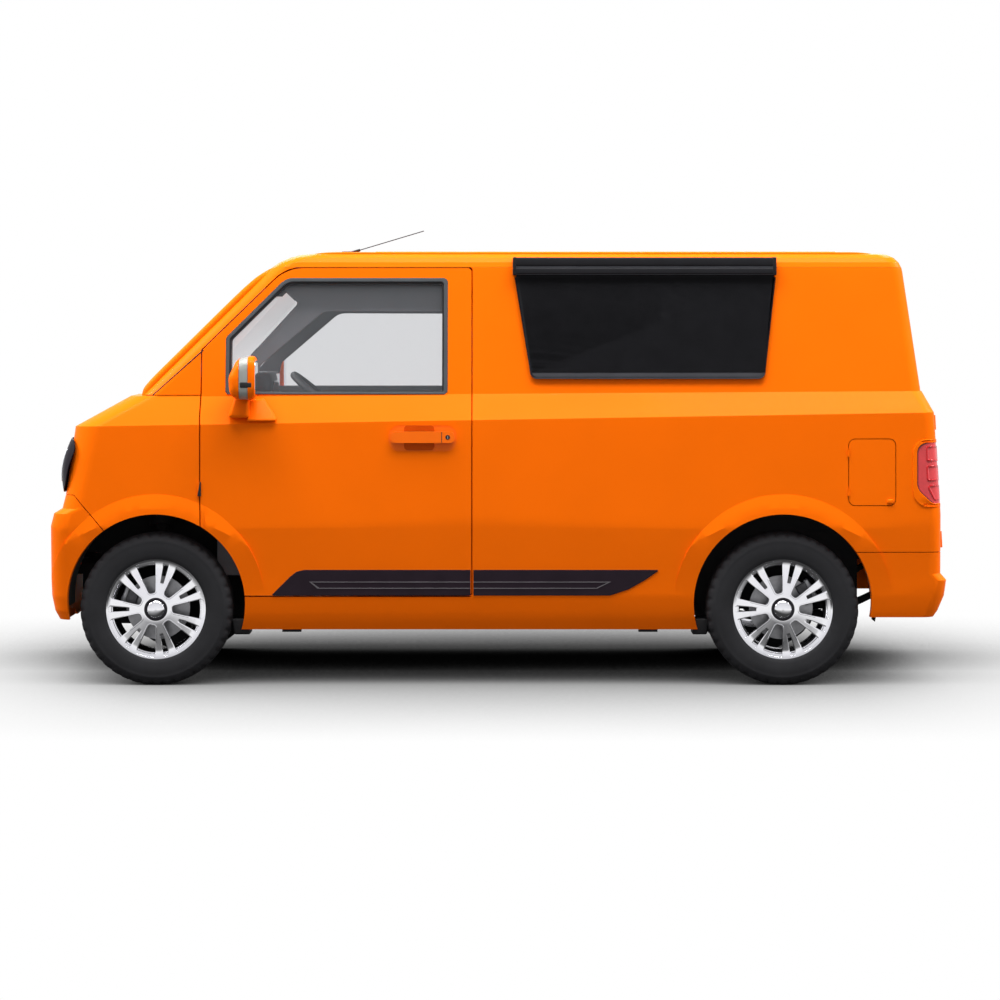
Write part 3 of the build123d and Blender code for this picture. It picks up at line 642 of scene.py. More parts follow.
# %% Tyre
TYRE_HALF = [(0.181, 0.06), (0.183, 0.07), (0.1842, 0.0742), (0.186, 0.0755), (0.189, 0.0775),
             (0.2, 0.0795), (0.214, 0.0815), (0.226, 0.0823), (0.238, 0.0818), (0.248, 0.0808),
             (0.251, 0.0812), (0.255, 0.0795), (0.264, 0.0765), (0.271, 0.0722), (0.276, 0.067),
             (0.2795, 0.061), (0.281, 0.054), (0.281, 0.044), (0.275, 0.0425), (0.275, 0.0365),
             (0.281, 0.035), (0.281, 0.018), (0.275, 0.0165), (0.275, 0.0105), (0.281, 0.009)]
TYRE_LINE = TYRE_HALF + [(r, -w) for r, w in reversed(TYRE_HALF)]
TREAD_STEPS, NOTCH = 252, 0.0045


def tyre_points(k):
    """Section of the tyre at step k; the notch lowers the shoulder only."""
    notch = NOTCH if k % 6 < 2 else 0.0
    return [(r - (notch if r > 0.268 and 0.05 < abs(w) < 0.074 else 0), w) for r, w in TYRE_LINE]


tyre_master = loft("tyre_master", turned(tyre_points, TREAD_STEPS), ring=True, angle=40)
print("tyre faces", len(tyre_master.data.polygons))

# %% [markdown]
# Each window of the cover has a raised border like a petal, which catches the
# light. It could be part of the dish, but as a thin plate laid on the dish it
# keeps a clear edge. Behind the cover sit the rim's barrel, hub and brake disc.

# %% Wheels on their hubs
BARREL = [(0.16, -0.078), (0.181, -0.079), (0.182, -0.0755), (0.1665, -0.071), (0.1655, -0.06),
          (0.1655, 0.06), (0.1665, 0.0625), (0.1775, 0.066), (0.1815, 0.067), (0.1832, 0.068),
          (0.1825, 0.0685), (0.1805, 0.0683), (0.179, 0.066), (0.178, 0.06), (0.162, 0.052), (0.157, 0.03),
          (0.154, -0.05), (0.16, -0.078)]
HUB_RING = [(0.0315, 0.07), (0.0315, 0.0785), (0.034, 0.0797), (0.041, 0.0795), (0.043, 0.0783),
            (0.043, 0.07)]
HUB_DOME = [(0.0002, 0.0875), (0.01, 0.0871), (0.02, 0.0857), (0.027, 0.0835), (0.031, 0.081),
            (0.0325, 0.078), (0.0325, 0.07)]
HUB_CORE = [(0.016, -0.01), (0.045, -0.01), (0.045, 0.06), (0.0002, 0.06)]
BRAKE_DISC = [(0.05, -0.023), (0.118, -0.023), (0.118, -0.013), (0.06, -0.013), (0.058, -0.006),
              (0.03, -0.006)]
DISH_TOP = DISH[2:9]
petal = rounded([(0.12, -0.0262), (0.1, -0.0217), (0.06, -0.0122), (0.06, 0.0122), (0.1, 0.0217),
                 (0.12, 0.0262), (0.121, 0.0315), (0.1, 0.0268), (0.0552, 0.0165), (0.0552, -0.0165),
                 (0.1, -0.0268), (0.121, -0.0315)],
                [0.001, 0.03, 0.011, 0.011, 0.03, 0.001, 0.001, 0.03, 0.014, 0.014, 0.03, 0.001])
petals = []
for turn in window_turns:
    c, s = math.cos(turn), math.sin(turn)
    petals.append(dense([(u * c - v * s, u * s + v * c) for u, v in petal], 0.006))


def corner_place(corner):
    """Axle position and side (-1 is left) of a wheel."""
    return AXLE_X[corner[0]], -1 if corner[1] == "l" else 1


def on_dish(axle, side):
    """Placement on the outer face of a wheel cover."""
    return lambda u, v, w: (axle + u, side * (HUB_Y + on_line(DISH_TOP, math.hypot(u, v)) + w), HUB_Z + v)


for corner in ("fl", "fr", "rl", "rr"):
    axle, side = corner_place(corner)
    wheel = "wheel_" + corner
    hub = (axle, side * HUB_Y, HUB_Z)
    place = Matrix.Translation(hub) @ Matrix.Scale(-side, 4, (0, 1, 0))
    for part, node, data, mat in (("tyre_tread_", "tyre_", tyre_master.data, tyre_black),
                                  ("rim_cover_", "rim_", cover_data, chrome)):
        own = data.copy()
        own.transform(place)
        if side > 0:
            own.flip_normals()
        piece = keep(clean(new_object(part + corner, own), 40), mat, wheel)
        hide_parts(node + corner)
    plate("rim_petals_" + corner, petals, 0.0032, on_dish(axle, side), chrome, wheel, 0.0012, sink=0.0012)
    for part, profile, mat, angle in (("rim_barrel_", BARREL, chrome, 35),
                                      ("hub_ring_", HUB_RING, black_gloss, 35),
                                      ("hub_dome_", HUB_DOME, chrome, 35),
                                      ("hub_core_", HUB_CORE, cast, 35),
                                      ("brake_disc_", BRAKE_DISC, steel, 30)):
        lathe(part + corner, profile, hub, mat, wheel, side=side, angle=angle)
bpy.data.objects.remove(tyre_master)
told("wheel pieces")

# %% [markdown]
# Calipers grip the brake discs and show between the spokes. They don't turn
# with the wheel, so they ride on the knuckle in front and on the body behind.
# Three soft-edged blocks, turned about the axle, are enough at this size.

# %% Brake calipers
CALIPER = [("bridge", 0.12, 0.14, 0.6, 0.644, 0.045, steel, 0.006),
           ("outer", 0.082, 0.124, 0.63, 0.644, 0.04, cast, 0.005),
           ("inner", 0.082, 0.124, 0.6, 0.612, 0.04, cast, 0.005)]


def around_axle(axle, turn):
    """Turns a block about the wheel axis."""
    c, s = math.cos(turn), math.sin(turn)
    return lambda co: (axle + co.x * c - co.z * s, co.y, HUB_Z + co.x * s + co.z * c)


for corner, body in (("fl", "knuckle_left"), ("fr", "knuckle_right"), ("rl", "body"), ("rr", "body")):
    axle, side = corner_place(corner)
    place = around_axle(axle, math.radians(160 if corner[0] == "f" else 30))
    for part, r0, r1, near, far, half, mat, bevel in CALIPER:
        y0, y1 = sorted((side * near, side * far))
        block(f"caliper_{part}_{corner}", (r0, y0, -half), (r1, y1, half), mat, body, bevel, place)
told("caliper pieces")

# %% [markdown]
# Wheel arches on the real van are lined with plastic, so no daylight comes past
# the tyre. A half pipe would do, but it would show its end. So the liner is an
# arc of thin sheet, a little larger than the arch, and a small flap closes the
# gap at the sill.

# %% Arch liners and flaps
ARCH_Z, LINER_R, LINER_THICK, LINER_STEPS = 0.304, 0.341, 0.003, 36
LINER_OUT, FLAP_TOP = -0.688, 0.243


def liner(name, axle, y_in, a0, a1):
    rows = []
    for k in range(LINER_STEPS + 1):
        t = math.radians(a0 + (a1 - a0) * k / LINER_STEPS)
        section = [(LINER_OUT, LINER_R), (y_in, LINER_R), (y_in, LINER_R + LINER_THICK),
                   (LINER_OUT, LINER_R + LINER_THICK)]
        rows.append([(axle + r * math.cos(t), y, ARCH_Z + r * math.sin(t)) for y, r in section])
    return keep(loft(name, rows, closed=True, caps=(0, -1)), liner_grey, "body")


pair(liner("arch_liner_front_left", AXLE_X["f"], -0.39, -12, 184))
pair(liner("arch_liner_rear_left", AXLE_X["r"], -0.53, 3, 192))
wall = [rectangle(0.74, 1.35, 0.27, 0.56, 0.05), circle(AXLE_X["r"], HUB_Z, 0.06)]
pair(plate("arch_wall_rear_left", wall, 0.004, lambda u, v, w: (u, -0.524 - w, v), under, "body"))
for name, x0, x1, lean in (("sill_flap_front_left", -0.985, -0.925, 0.2),
                           ("sill_flap_rear_left", 0.735, 0.79, -0.2)):
    pair(block(name, (x0, -0.675, 0.184), (x1, -0.56, FLAP_TOP), rubber_dark, "body", 0.006,
               lambda co, lean=lean: (co.x + lean * (FLAP_TOP - co.z), co.y, co.z)))
told("arch pieces")

# %% [markdown]
# Window seals sit in the openings: a soft grey rubber frame with a dark lip
# inside it. A bevelled curve could make them, but the corners would pinch. Both
# are outlines with a hole, laid on the slope of the door.

# %% Door window seals
opening = rounded([(-1.006, 1.078), (-1.006, 1.285), (-0.785, 1.506), (-0.182, 1.506), (-0.182, 1.078)],
                  [0.008, 0.026, 0.07, 0.018, 0.008])
middle = rounded([(-0.992, 1.083), (-0.992, 1.279), (-0.779, 1.491), (-0.197, 1.491), (-0.197, 1.083)],
                 [0.006, 0.022, 0.062, 0.012, 0.006])
sight = rounded([(-0.986, 1.085), (-0.986, 1.276), (-0.776, 1.485), (-0.203, 1.485), (-0.203, 1.085)],
                [0.005, 0.02, 0.058, 0.008, 0.005])
belt = rectangle(-1.0, -0.19, 1.0745, 1.0795, 0.002)
for name, loops, thick, mat, bevel, sink in (
        ("window_seal_left", [opening, middle], 0.01, rubber, 0.003, 0.0095),
        ("window_lip_left", [grown(middle, 0.002), sight], 0.006, rubber_dark, 0.001, 0.0098),
        ("window_belt_left", [belt], 0.004, rubber, 0.001, 0.001)):
    pair(plate(name, loops, thick, left_skin, mat, "door_left", bevel, sink=sink))
told("door seals")

# %% [markdown]
# The windscreen has a black printed border and two wipers. The border could be
# painted by a mask in the glass, but a thin plate keeps its edge sharp. The
# wipers are rods bent along the slope of the glass.

# %% Windscreen border and wipers
screen_edge = rounded([(-0.594, 1.0965), (0.594, 1.0965), (0.523, 1.54), (-0.523, 1.54)], 0.038)
screen_sight = rounded([(-0.545, 1.145), (0.545, 1.145), (0.482, 1.502), (-0.482, 1.502)], 0.05)
plate("screen_border", [dense(screen_edge), dense(screen_sight)], 0.0016, screen_skin, black_gloss, "body",
      0.0005)
for name, y0, y1 in (("wiper_left", -0.5, 0.02), ("wiper_right", 0.0, 0.49)):
    foot = Vector(screen_skin(y0, 1.098, 0.012))
    tip = Vector(screen_skin(y1, 1.16, 0.012))
    knee = foot.lerp(tip, 0.45) + Vector((-0.01, 0, 0.012))
    tube(name + "_arm", [foot, knee, foot.lerp(tip, 0.62)], 0.0055, rubber_dark, "body", smooth=True)
    marks = (0.18, 0.3, 0.45, 0.6, 0.75, 0.9, 1.0)
    line = [screen_skin(y0 + (y1 - y0) * t, 1.11 + 0.06 * t, 0.006) for t in marks]
    tube(name + "_blade", line, 0.005, rubber, "body", smooth=True)
    pivot = [screen_skin(y0, 1.094, -0.004), screen_skin(y0, 1.094, 0.018)]
    tube(name + "_pivot", pivot, 0.012, rubber_dark, "body")
told("windscreen pieces")

# %% [markdown]
# A round painted moulding covers each windscreen pillar, and a dark seam beside
# it runs down to the corner of the door. Both follow the slope of the screen,
# so a rod through a few points is simpler than a plate. Air slots lie below.

# %% Pillar covers, seams and air slots
PILLAR_R = 0.07
DIPS = ((1.07, 0.02), (1.08, 0.008), (1.1, 0.0), (1.2, 0.0), (1.3, 0.0), (1.4, 0.0), (1.47, 0.001),
        (1.52, 0.006), (1.56, 0.02))
pillar = [(screen_x(z) + 0.006 + dip, -upper_half(z) + 0.052, z - dip) for z, dip in DIPS]
pair(tube("pillar_cover_left", pillar, 0.017, paint, "body", smooth=True))
seam = []
for k in range(7):
    z = 1.07 + 0.028 * k
    back = 0.042 + 0.003 * k
    inset = PILLAR_R - math.sqrt(PILLAR_R ** 2 - max(PILLAR_R - back, 0) ** 2)
    seam.append((screen_x(z) + 0.012 + back, -upper_half(z) + inset, z))
pair(tube("pillar_seam_left", seam, 0.0024, rubber_dark, "body"))
for k in range(6):
    slot_loop = dense(rectangle(-0.5 + 0.2 * k, -0.32 + 0.2 * k, 1.069, 1.086, 0.006))
    plate(f"cowl_vent_{k}", [slot_loop], 0.003, screen_skin, rubber_dark, "body", sink=0.0035)
told("pillar and cowl pieces")

# %% [markdown]
# A black strip runs along the lower side, from behind the front wheel to
# ahead of the rear one. One long plate would tear when the door opens, so it is
# made in two pieces, on the door and on the body, each with a thin raised line.

# %% Lower strips
DOOR_END, BODY_START = -0.0975, -0.0865
strip_door = rounded([(-0.833, 0.332), (-0.765, 0.4), (-0.74, 0.42), (-0.71, 0.427), (DOOR_END, 0.427),
                      (DOOR_END, 0.332)], [0.003, 0.03, 0.03, 0.02, 0.002, 0.002])
strip_body = rounded([(BODY_START, 0.332), (BODY_START, 0.427), (0.601, 0.427), (0.545, 0.388),
                      (0.485, 0.354), (0.418, 0.332)], [0.002, 0.002, 0.003, 0.06, 0.06, 0.02])
line_door = [(-0.693, 0.3835), (DOOR_END, 0.3835), (DOOR_END, 0.3805), (-0.683, 0.3805), (-0.655, 0.3605),
             (DOOR_END, 0.3605), (DOOR_END, 0.3575), (-0.662, 0.3575)]
line_body = [(BODY_START, 0.3835), (0.422, 0.3835), (0.37, 0.3575), (BODY_START, 0.3575),
             (BODY_START, 0.3605), (0.367, 0.3605), (0.409, 0.3805), (BODY_START, 0.3805)]
for part, strip, carrier in (("door", strip_door, "door_left"), ("body", strip_body, "body")):
    pair(plate(f"strip_{part}_left", [strip], 0.004, left_skin, strip_black, carrier, 0.0012, sink=0.001))
for part, line, carrier in (("door", line_door, "door_left"), ("body", line_body, "body")):
    name = f"strip_line_{part}_left"
    pair(plate(name, [line], 0.0012, left_skin, strip_line, carrier, 0.0003, sink=-0.0028))
told("strip pieces")

# %% [markdown]
# The side boards hang from a rail under the roof edge. The CAD board is a flat
# solid, so it gets a smooth face and a thin raised edge, and the rail gets
# rounded covers and end caps. The face stays bare.

# %% Side boards
board_out = rounded([(0.071, 1.516), (0.126, 1.131), (0.992, 1.131), (1.031, 1.516)],
                    [0.002, 0.026, 0.026, 0.002])
pair(plate("board_face_left", [board_out], 0.0012, left_skin, black_board, "body", 0.0004, sink=-0.0106))
pair(plate("board_edge_left", [board_out, grown(board_out, -0.007)], 0.002, left_skin, rail_black, "body",
           0.0006, sink=-0.0108))
for name, z0, z1, y_in in (("rail_lower_left", 1.519, 1.543, -0.64),
                           ("rail_upper_left", 1.55, 1.581, -0.628)):
    pair(block(name, (0.059, -0.6505, z0), (1.038, y_in, z1), rail_black, "body", 0.005))
for k, x in enumerate((0.059, 1.025)):
    pair(block(f"rail_end_left_{k}", (x, -0.6515, 1.516), (x + 0.013, -0.6, 1.583), rail_black, "body",
               0.003))
told("board pieces")

# %% [markdown]
# The mirror is one rounded head in three layers: a painted cap, a silver band
# and a painted housing. Three separate shapes would hardly meet. So one head is
# lofted from rounded outlines that shrink at the ends, and two planes split it.

# %% Mirror head
HEAD_BACK, HEAD_Z, HEAD_Y = -0.8825, 1.134, -0.795
HEAD = rounded([(-0.978, 1.056), (-0.9835, 1.14), (-0.946, 1.2165), (-0.884, 1.2165), (HEAD_BACK, 1.056)],
               [0.04, 0.06, 0.06, 0.012, 0.02], 8)
HEAD_SIZES = [(-0.878, 0.35), (-0.876, 0.62), (-0.868, 0.82), (-0.855, 0.92), (-0.835, 0.97), (-0.8, 1.0),
              (-0.77, 0.995), (-0.74, 0.965), (-0.724, 0.92), (-0.716, 0.84), (-0.713, 0.6)]
rows = []
for y, size in HEAD_SIZES:
    deep = 0.4 + 0.6 * size
    rows.append([(HEAD_BACK + (x - HEAD_BACK) * deep, y, HEAD_Z + (z - HEAD_Z) * size) for x, z in HEAD])
head_master = loft("mirror_master", rows, closed=True, caps=(0, -1), angle=50)


def layer(name, x0, x1, mat, puff):
    """Slice of the mirror head between two planes; puff grows it, or draws it in if negative."""
    bm = bmesh.new()
    bm.from_mesh(head_master.data)
    for x, sign in ((x0, -1), (x1, 1)):
        cut = bmesh.ops.bisect_plane(bm, geom=bm.verts[:] + bm.edges[:] + bm.faces[:], plane_co=(x, 0, 0),
                                     plane_no=(sign, 0, 0), clear_outer=True)
        rim = [e for e in cut["geom_cut"] if isinstance(e, bmesh.types.BMEdge)]
        if rim:
            bmesh.ops.contextual_create(bm, geom=rim)
    for vertex in bm.verts:
        vertex.co += (Vector((0, vertex.co.y, vertex.co.z)) - Vector((0, HEAD_Y, HEAD_Z))) * puff
    data = bpy.data.meshes.new(name)
    bm.to_mesh(data)
    bm.free()
    return keep(clean(new_object(name, data), 45), mat, "door_left")


mirror_pieces = [layer("mirror_cap_left", -1.1, -0.9415, paint, 0.0),
                 layer("mirror_band_left", -0.9405, -0.909, band_silver, -0.02),
                 layer("mirror_housing_left", -0.908, -0.8, paint, 0.0)]
bpy.data.objects.remove(head_master)
print("mirror layers", len(mirror_pieces))

# %% Mirror glass, stalk and foot
STALK_X, STALK_Y, STALK_Z, STALK_HIGH = -0.95, -0.725, 0.985, 0.09


def stalk(co):
    t = (co.z - STALK_Z) / STALK_HIGH
    spread = 1.25 - 0.55 * max(min(t, 1), 0)
    return (STALK_X + (co.x - STALK_X) * spread + 0.012 * t, STALK_Y + (co.y - STALK_Y) * (1.15 - 0.4 * t),
            co.z)


foot = dense(rounded([(-0.93, 1.048), (-0.862, 1.06), (-0.803, 0.976), (-0.92, 0.976)],
                     [0.01, 0.012, 0.01, 0.006]), 0.012)
mirror_pieces += [
    block("mirror_slot_left", (-0.937, -0.8785, 1.101), (-0.892, -0.85, 1.122), rubber_dark, "door_left"),
    plate("mirror_glass_left", [rectangle(-0.862, -0.728, 1.072, 1.2, 0.03)], 0.003,
          lambda u, v, w: (-0.8835 + w, u, v), mirror_glass, "door_left", sink=0.001),
    block("mirror_stalk_left", (-0.985, -0.76, 0.988), (-0.918, -0.66, 1.075), paint, "door_left", 0.014,
          stalk),
    plate("mirror_foot_left", [foot], 0.018, left_skin, paint, "door_left", 0.006, sink=0.004),
]
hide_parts("door_mirror_left")
twins = [pair(piece) for piece in mirror_pieces]
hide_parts("door_mirror_right")
told("mirror pieces")

# %% [markdown]
# Small things on the doors and sides: the lock in the handle, the joint line
# beside it, the finger recess, the tab on the charge flap and the pins of its
# socket. A cut in the door would need the solid changed, so the shade in the
# finger recess is painted on thin darker plates behind the grip.

# %% Handle and lock
def grip_skin(u, v, w):
    return (u, -0.752 - w, v)


key = rectangle(-0.1825, -0.1795, 0.9115, 0.9225, 0.001)
joint = rectangle(-0.2045, -0.202, 0.8975, 0.9365, 0.001)
scoop = rounded([(-0.338, 0.881), (-0.338, 0.945), (-0.232, 0.945), (-0.232, 0.881)], 0.012)
# Two darker plates lie in the finger recess, above and below the grip: painted shade.
hollow_shade = rounded([(-0.342, 0.933), (-0.231, 0.933), (-0.231, 0.961), (-0.342, 0.961)],
                 [0.002, 0.002, 0.014, 0.014])
shadow = rounded([(-0.342, 0.869), (-0.231, 0.869), (-0.231, 0.899), (-0.342, 0.899)],
                 [0.014, 0.014, 0.002, 0.002])
for name, loop, thick, place, mat, bevel, sink in (
        ("handle_lock_left", circle(-0.181, 0.917, 0.0085), 0.0022, grip_skin, rubber_dark, 0.0006, 0.0012),
        ("handle_key_left", key, 0.003, grip_skin, steel, 0.0004, 0.0012),
        ("handle_joint_left", joint, 0.0015, grip_skin, rubber_dark, 0.0003, 0.001),
        ("handle_scoop_left", scoop, 0.002, lambda u, v, w: (u, -0.714 - w, v), handle_paint, 0.0005, 0.0),
        ("handle_hollow_left", hollow_shade, 0.0014, left_skin, scoop_painted_shade, 0.0005, 0.0006),
        ("handle_shadow_left", shadow, 0.0014, left_skin, scoop_painted_shade, 0.0005, 0.0006)):
    pair(plate(name, [loop], thick, place, mat, "door_left", bevel, sink=sink))
told("handle pieces")

# %% Charge flap and socket
PIN_RING = 0.026
block("flap_tab", (1.438, -0.7425, 0.672), (1.462, -0.734, 0.688), paint, "charge_flap")
for k, (x, z) in enumerate(circle(1.384, 0.788, PIN_RING, 5)):
    lathe(f"socket_pin_{k}", [(0.0002, 0.004), (0.0055, 0.004), (0.0065, 0.0), (0.0065, -0.004)],
          (x, -0.706, z), steel, "body", steps=20)
told("flap pieces")

# %% [markdown]
# The tail lamps wrap round the rear corner. The red lens is the CAD piece. Its
# chambers could be a texture, but they have depth on the real lamp. So three
# pale cells with deeper walls, a dark rim and a painted bezel lie on the lens,
# on one strip that runs along the side and round the corner.

# %% Tail lamps
LAMP_START, REAR_R, LAMP_RUN = 1.546, 0.055, 0.112


def lamp_side(u, v, w):
    """Side and rear of the lamp in one strip: u runs backwards, round the corner, then inwards."""
    half, rear, r = on_line(SIDE_LINE, v), on_line(REAR_LINE, v), REAR_R
    run = rear - r - LAMP_START
    if u < run:
        return (LAMP_START + u, -half - w, v)
    turn = (u - run) / r
    if turn < math.pi / 2:
        return (rear - r + (r + w) * math.sin(turn), -half + r - (r + w) * math.cos(turn), v)
    return (rear + w, -half + r + (u - run - r * math.pi / 2), v)


for k, (z0, z1, foot) in enumerate(((0.827, 0.884, 0.036), (0.755, 0.812, 0.039), (0.683, 0.74, 0.068))):
    shape = rounded([(0.036, z1), (LAMP_RUN, z1), (LAMP_RUN, z0), (foot, z0)], 0.01)
    cell, inner = dense(shape, 0.006), dense(grown(shape, -0.006), 0.006)
    pair(plate(f"lamp_cell_left_{k}", [inner], 0.002, lamp_side, lamp_pale, "body", 0.0006, sink=-0.0002))
    pair(plate(f"lamp_wall_left_{k}", [cell, inner], 0.0032, lamp_side, lamp_deep, "body", 0.0012,
               sink=-0.0002))
rim_out = dense(rounded([(0.003, 0.726), (0.003, 0.8965), (0.118, 0.8965), (0.118, 0.673), (0.058, 0.673)],
                        [0.05, 0.038, 0.004, 0.004, 0.035]), 0.006)
pair(plate("lamp_rim_left", [rim_out, grown(rim_out, -0.004)], 0.002, lamp_side, lamp_seam, "body", 0.0006,
           sink=0.0006))
bezel = [(LAMP_RUN, 0.909), (-0.013, 0.909), (-0.013, 0.659), (LAMP_RUN, 0.659), (LAMP_RUN, 0.673),
         (0.058, 0.673), (0.003, 0.726), (0.003, 0.8965), (LAMP_RUN, 0.8965)]
bezel = dense(rounded(bezel, [0.002, 0.05, 0.06, 0.002, 0.002, 0.035, 0.05, 0.038, 0.002]), 0.006)
pair(plate("lamp_bezel_left", [bezel], 0.005, lamp_side, paint, "body", 0.002, sink=0.001))
told("tail lamp pieces")

# %% [markdown]
# The front follows what small vans have: round lamps in a black mask, a low
# intake and fog lamps. Rings and panels are plates on the nose, because the
# nose is bowed and a straight cylinder would stand off at one side.

# %% Head lamps
LAMP_Y, LAMP_Z, LENS_R, LENS_STEPS = 0.455, 0.809, 0.034, 40
LAMP_RINGS = [("ring", 0.0835, 0.0755, 0.007, lamp_silver, 0.002, 0.002),
              ("light", 0.07, 0.058, 0.004, lamp_white, 0.0015, 0.002),
              ("bowl", 0.0565, LENS_R, 0.002, black_gloss, 0.0005, 0.001)]
bends = (0, 0.3, 0.6, 0.9, 1.2, 1.45, 1.5708)
dome = [(max(LENS_R * math.cos(t), 0.0002), LENS_R * math.sin(t) * 0.5) for t in bends]


def head_lamp(sign, name):
    """Ring, light guide, bowl and domed lens of one side."""
    y = sign * LAMP_Y
    for part, r_out, r_in, thick, mat, bevel, sink in LAMP_RINGS:
        loops = [circle(y, LAMP_Z, r_out), circle(y, LAMP_Z, r_in)]
        plate(f"headlamp_{part}_{name}", loops, thick, nose_skin, mat, "body", bevel, sink=sink)
    front = nose_skin(y, LAMP_Z, 0.0)[0] - 0.001
    turns = [2 * math.pi * k / LENS_STEPS for k in range(LENS_STEPS)]
    rows = [[(front - w, y + r * math.cos(t), LAMP_Z + r * math.sin(t)) for r, w in dome] for t in turns]
    keep(loft(f"headlamp_lens_{name}", rows, ring=True), lamp_white, "body")


print("lens points", len(dome) * LENS_STEPS)

# %% Fog lamps, intake and mask bar
FOG_Y, FOG_Z = 0.54, 0.495
RECESS = [(0.47, 0.43), (0.47, 0.54), (0.61, 0.56), (0.61, 0.45)]


def fog_lamp(sign, name):
    """Recess, lamp and ring of one side."""
    y = sign * FOG_Y
    recess = dense(rounded([(sign * u, v) for u, v in RECESS], 0.02))
    plate(f"fog_recess_{name}", [recess], 0.003, nose_skin, black_gloss, "body", sink=0.001)
    plate(f"fog_lamp_{name}", [circle(y, FOG_Z, 0.033)], 0.006, nose_skin, lamp_white, "body", 0.002)
    ring = [circle(y, FOG_Z, 0.039), circle(y, FOG_Z, 0.034)]
    plate(f"fog_ring_{name}", ring, 0.007, nose_skin, lamp_silver, "body", 0.002)


for sign, name in ((-1, "left"), (1, "right")):
    head_lamp(sign, name)
    fog_lamp(sign, name)
intake = dense(rounded([(-0.44, 0.362), (0.44, 0.362), (0.38, 0.288), (-0.38, 0.288)], 0.02))
nose_folds = [((0, 0.329, 0), (0, 1, 0))] + [((-0.4 + 0.08 * k, 0, 0), (1, 0, 0)) for k in range(11)]
plate("intake_panel", [intake], 0.003, nose_skin, rubber_dark, "body", sink=0.001, folds=nose_folds)
for k in range(4):
    z = 0.302 + 0.015 * k
    bar = dense(rectangle(-0.4, 0.4, z, z + 0.006, 0.002))
    plate(f"intake_bar_{k}", [bar], 0.006, nose_skin, black_gloss, "body", 0.002)
mask_bar = dense(rectangle(-0.33, 0.33, 0.8, 0.818, 0.008))
plate("mask_bar", [mask_bar], 0.005, nose_skin, chrome, "body", 0.002, sink=0.001)
told("front pieces")

# %% [markdown]
# A smoked lens closes the mask at each front corner and swells a little, which
# is what shows of the lamps from the side. A plate would stay flat between its
# edges, so the lens is lofted through rings that shrink towards its middle.

# %% Corner lenses
LENS_MID_U, LENS_MID_Z, LENS_SWELL = 0.135, 0.812, 0.026


def nose_corner(u, v, w):
    """Front corner: u runs from the side round to the front; the middle of the lens stands out most."""
    r = 0.085 + (v - 0.701) * 0.0984
    half, front = on_line(SIDE_LINE, v), on_line(NOSE_LINE, v) + 0.013
    up = max(1 - ((v - LENS_MID_Z) / 0.12) ** 2, 0)
    along = max(1 - ((u - LENS_MID_U) / 0.11) ** 2, 0)
    w += LENS_SWELL * up * along
    turn = u / r
    if turn < math.pi / 2:
        return (front + r - (r + w) * math.sin(turn), -half + r - (r + w) * math.cos(turn), v)
    return (front - 0.001 - w, -half + r + u - r * math.pi / 2, v)


lens_out = rounded([(0.078, 0.905), (0.21, 0.915), (0.225, 0.715), (0.098, 0.709)],
                   [0.05, 0.02, 0.02, 0.05])
lens_out = dense(lens_out, 0.008)
inward = [(grown(lens_out, -d), 0.003) for d in (0.014, 0.03, 0.046)]
rings = [(lens_out, -0.001), (lens_out, 0.003)] + inward
rows = [[nose_corner(u, v, w) for u, v in ring] for ring, w in rings]
pair(keep(loft("corner_lens_left", rows, closed=True, caps=(-1,), angle=40), lamp_smoke, "body"))
light_bar = dense(rounded([(0.128, 0.87), (0.14, 0.872), (0.15, 0.752), (0.138, 0.75)], 0.005), 0.006)
pair(plate("corner_light_left", [light_bar], 0.004, nose_corner, lamp_white, "body", 0.0012, sink=-0.002))
told("corner lens pieces")

# %% [markdown]
# The rear doors carry window seals, a sunk handle with a lock, and hinges. The
# bumper has two reflectors and a dark step pad, and a stop lamp sits above the
# doors. What opens rides on its own leaf, so that it swings with it.

# %% Rear doors and bumper
leaf_open = rounded([(-0.548, 1.112), (-0.508, 1.49), (-0.062, 1.49), (-0.062, 1.112)], 0.03)
leaf_sight = rounded([(-0.53, 1.13), (-0.494, 1.472), (-0.08, 1.472), (-0.08, 1.13)], 0.022)
pair(plate("rear_seal_left", [leaf_open, leaf_sight], 0.01, rear_skin, rubber, "rear_door_left", 0.003,
           sink=0.0095))
plate("rear_handle_cup", [rectangle(0.055, 0.2, 0.83, 0.93, 0.02)], 0.003, rear_skin, rubber_dark,
      "rear_door_right", sink=0.001)
plate("rear_handle_grip", [rectangle(0.065, 0.19, 0.868, 0.9, 0.012)], 0.014, rear_skin, handle_paint,
      "rear_door_right", 0.004)
plate("rear_lock", [circle(0.128, 0.848, 0.009)], 0.004, rear_skin, steel, "rear_door_right")
pair(plate("reflector_left", [rectangle(-0.6, -0.46, 0.345, 0.377, 0.008)], 0.004, rear_skin, lamp_deep,
           "body", 0.0015))
pair(plate("bumper_step_left", [rectangle(-0.62, -0.004, 0.262, 0.318, 0.006)], 0.003, rear_skin,
           rubber_dark, "body", sink=0.001))
block("stop_lamp", (1.494, -0.12, 1.557), (1.507, 0.12, 1.575), lamp_deep, "body")
for k, z in enumerate((0.535, 0.97)):
    x = on_line(REAR_LINE, z)
    pair(block(f"rear_hinge_left_{k}", (x - 0.012, -0.655, z - 0.036), (x + 0.0035, -0.638, z + 0.036),
               paint, "body", 0.005))
told("rear pieces")

# %% [markdown]
# The roof has shallow pressed ribs along it, as thin sheet needs. A bump map
# would not show on the roof line, so they are slim raised bars with soft ends.
# They stand on a roof skin whose ends run out into the CAD roof.

# %% Roof and antenna
SKIN_Z, SKIN_FRONT, SKIN_REAR, SKIN_FALL = 1.592, -0.6, 1.32, 0.9


def roof_place(u, v, w):
    """Top of the roof; the ends of the skin fall away."""
    end = max(SKIN_FRONT - u, u - SKIN_REAR, 0.0)
    return (u, v, SKIN_Z + w - SKIN_FALL * end * end)


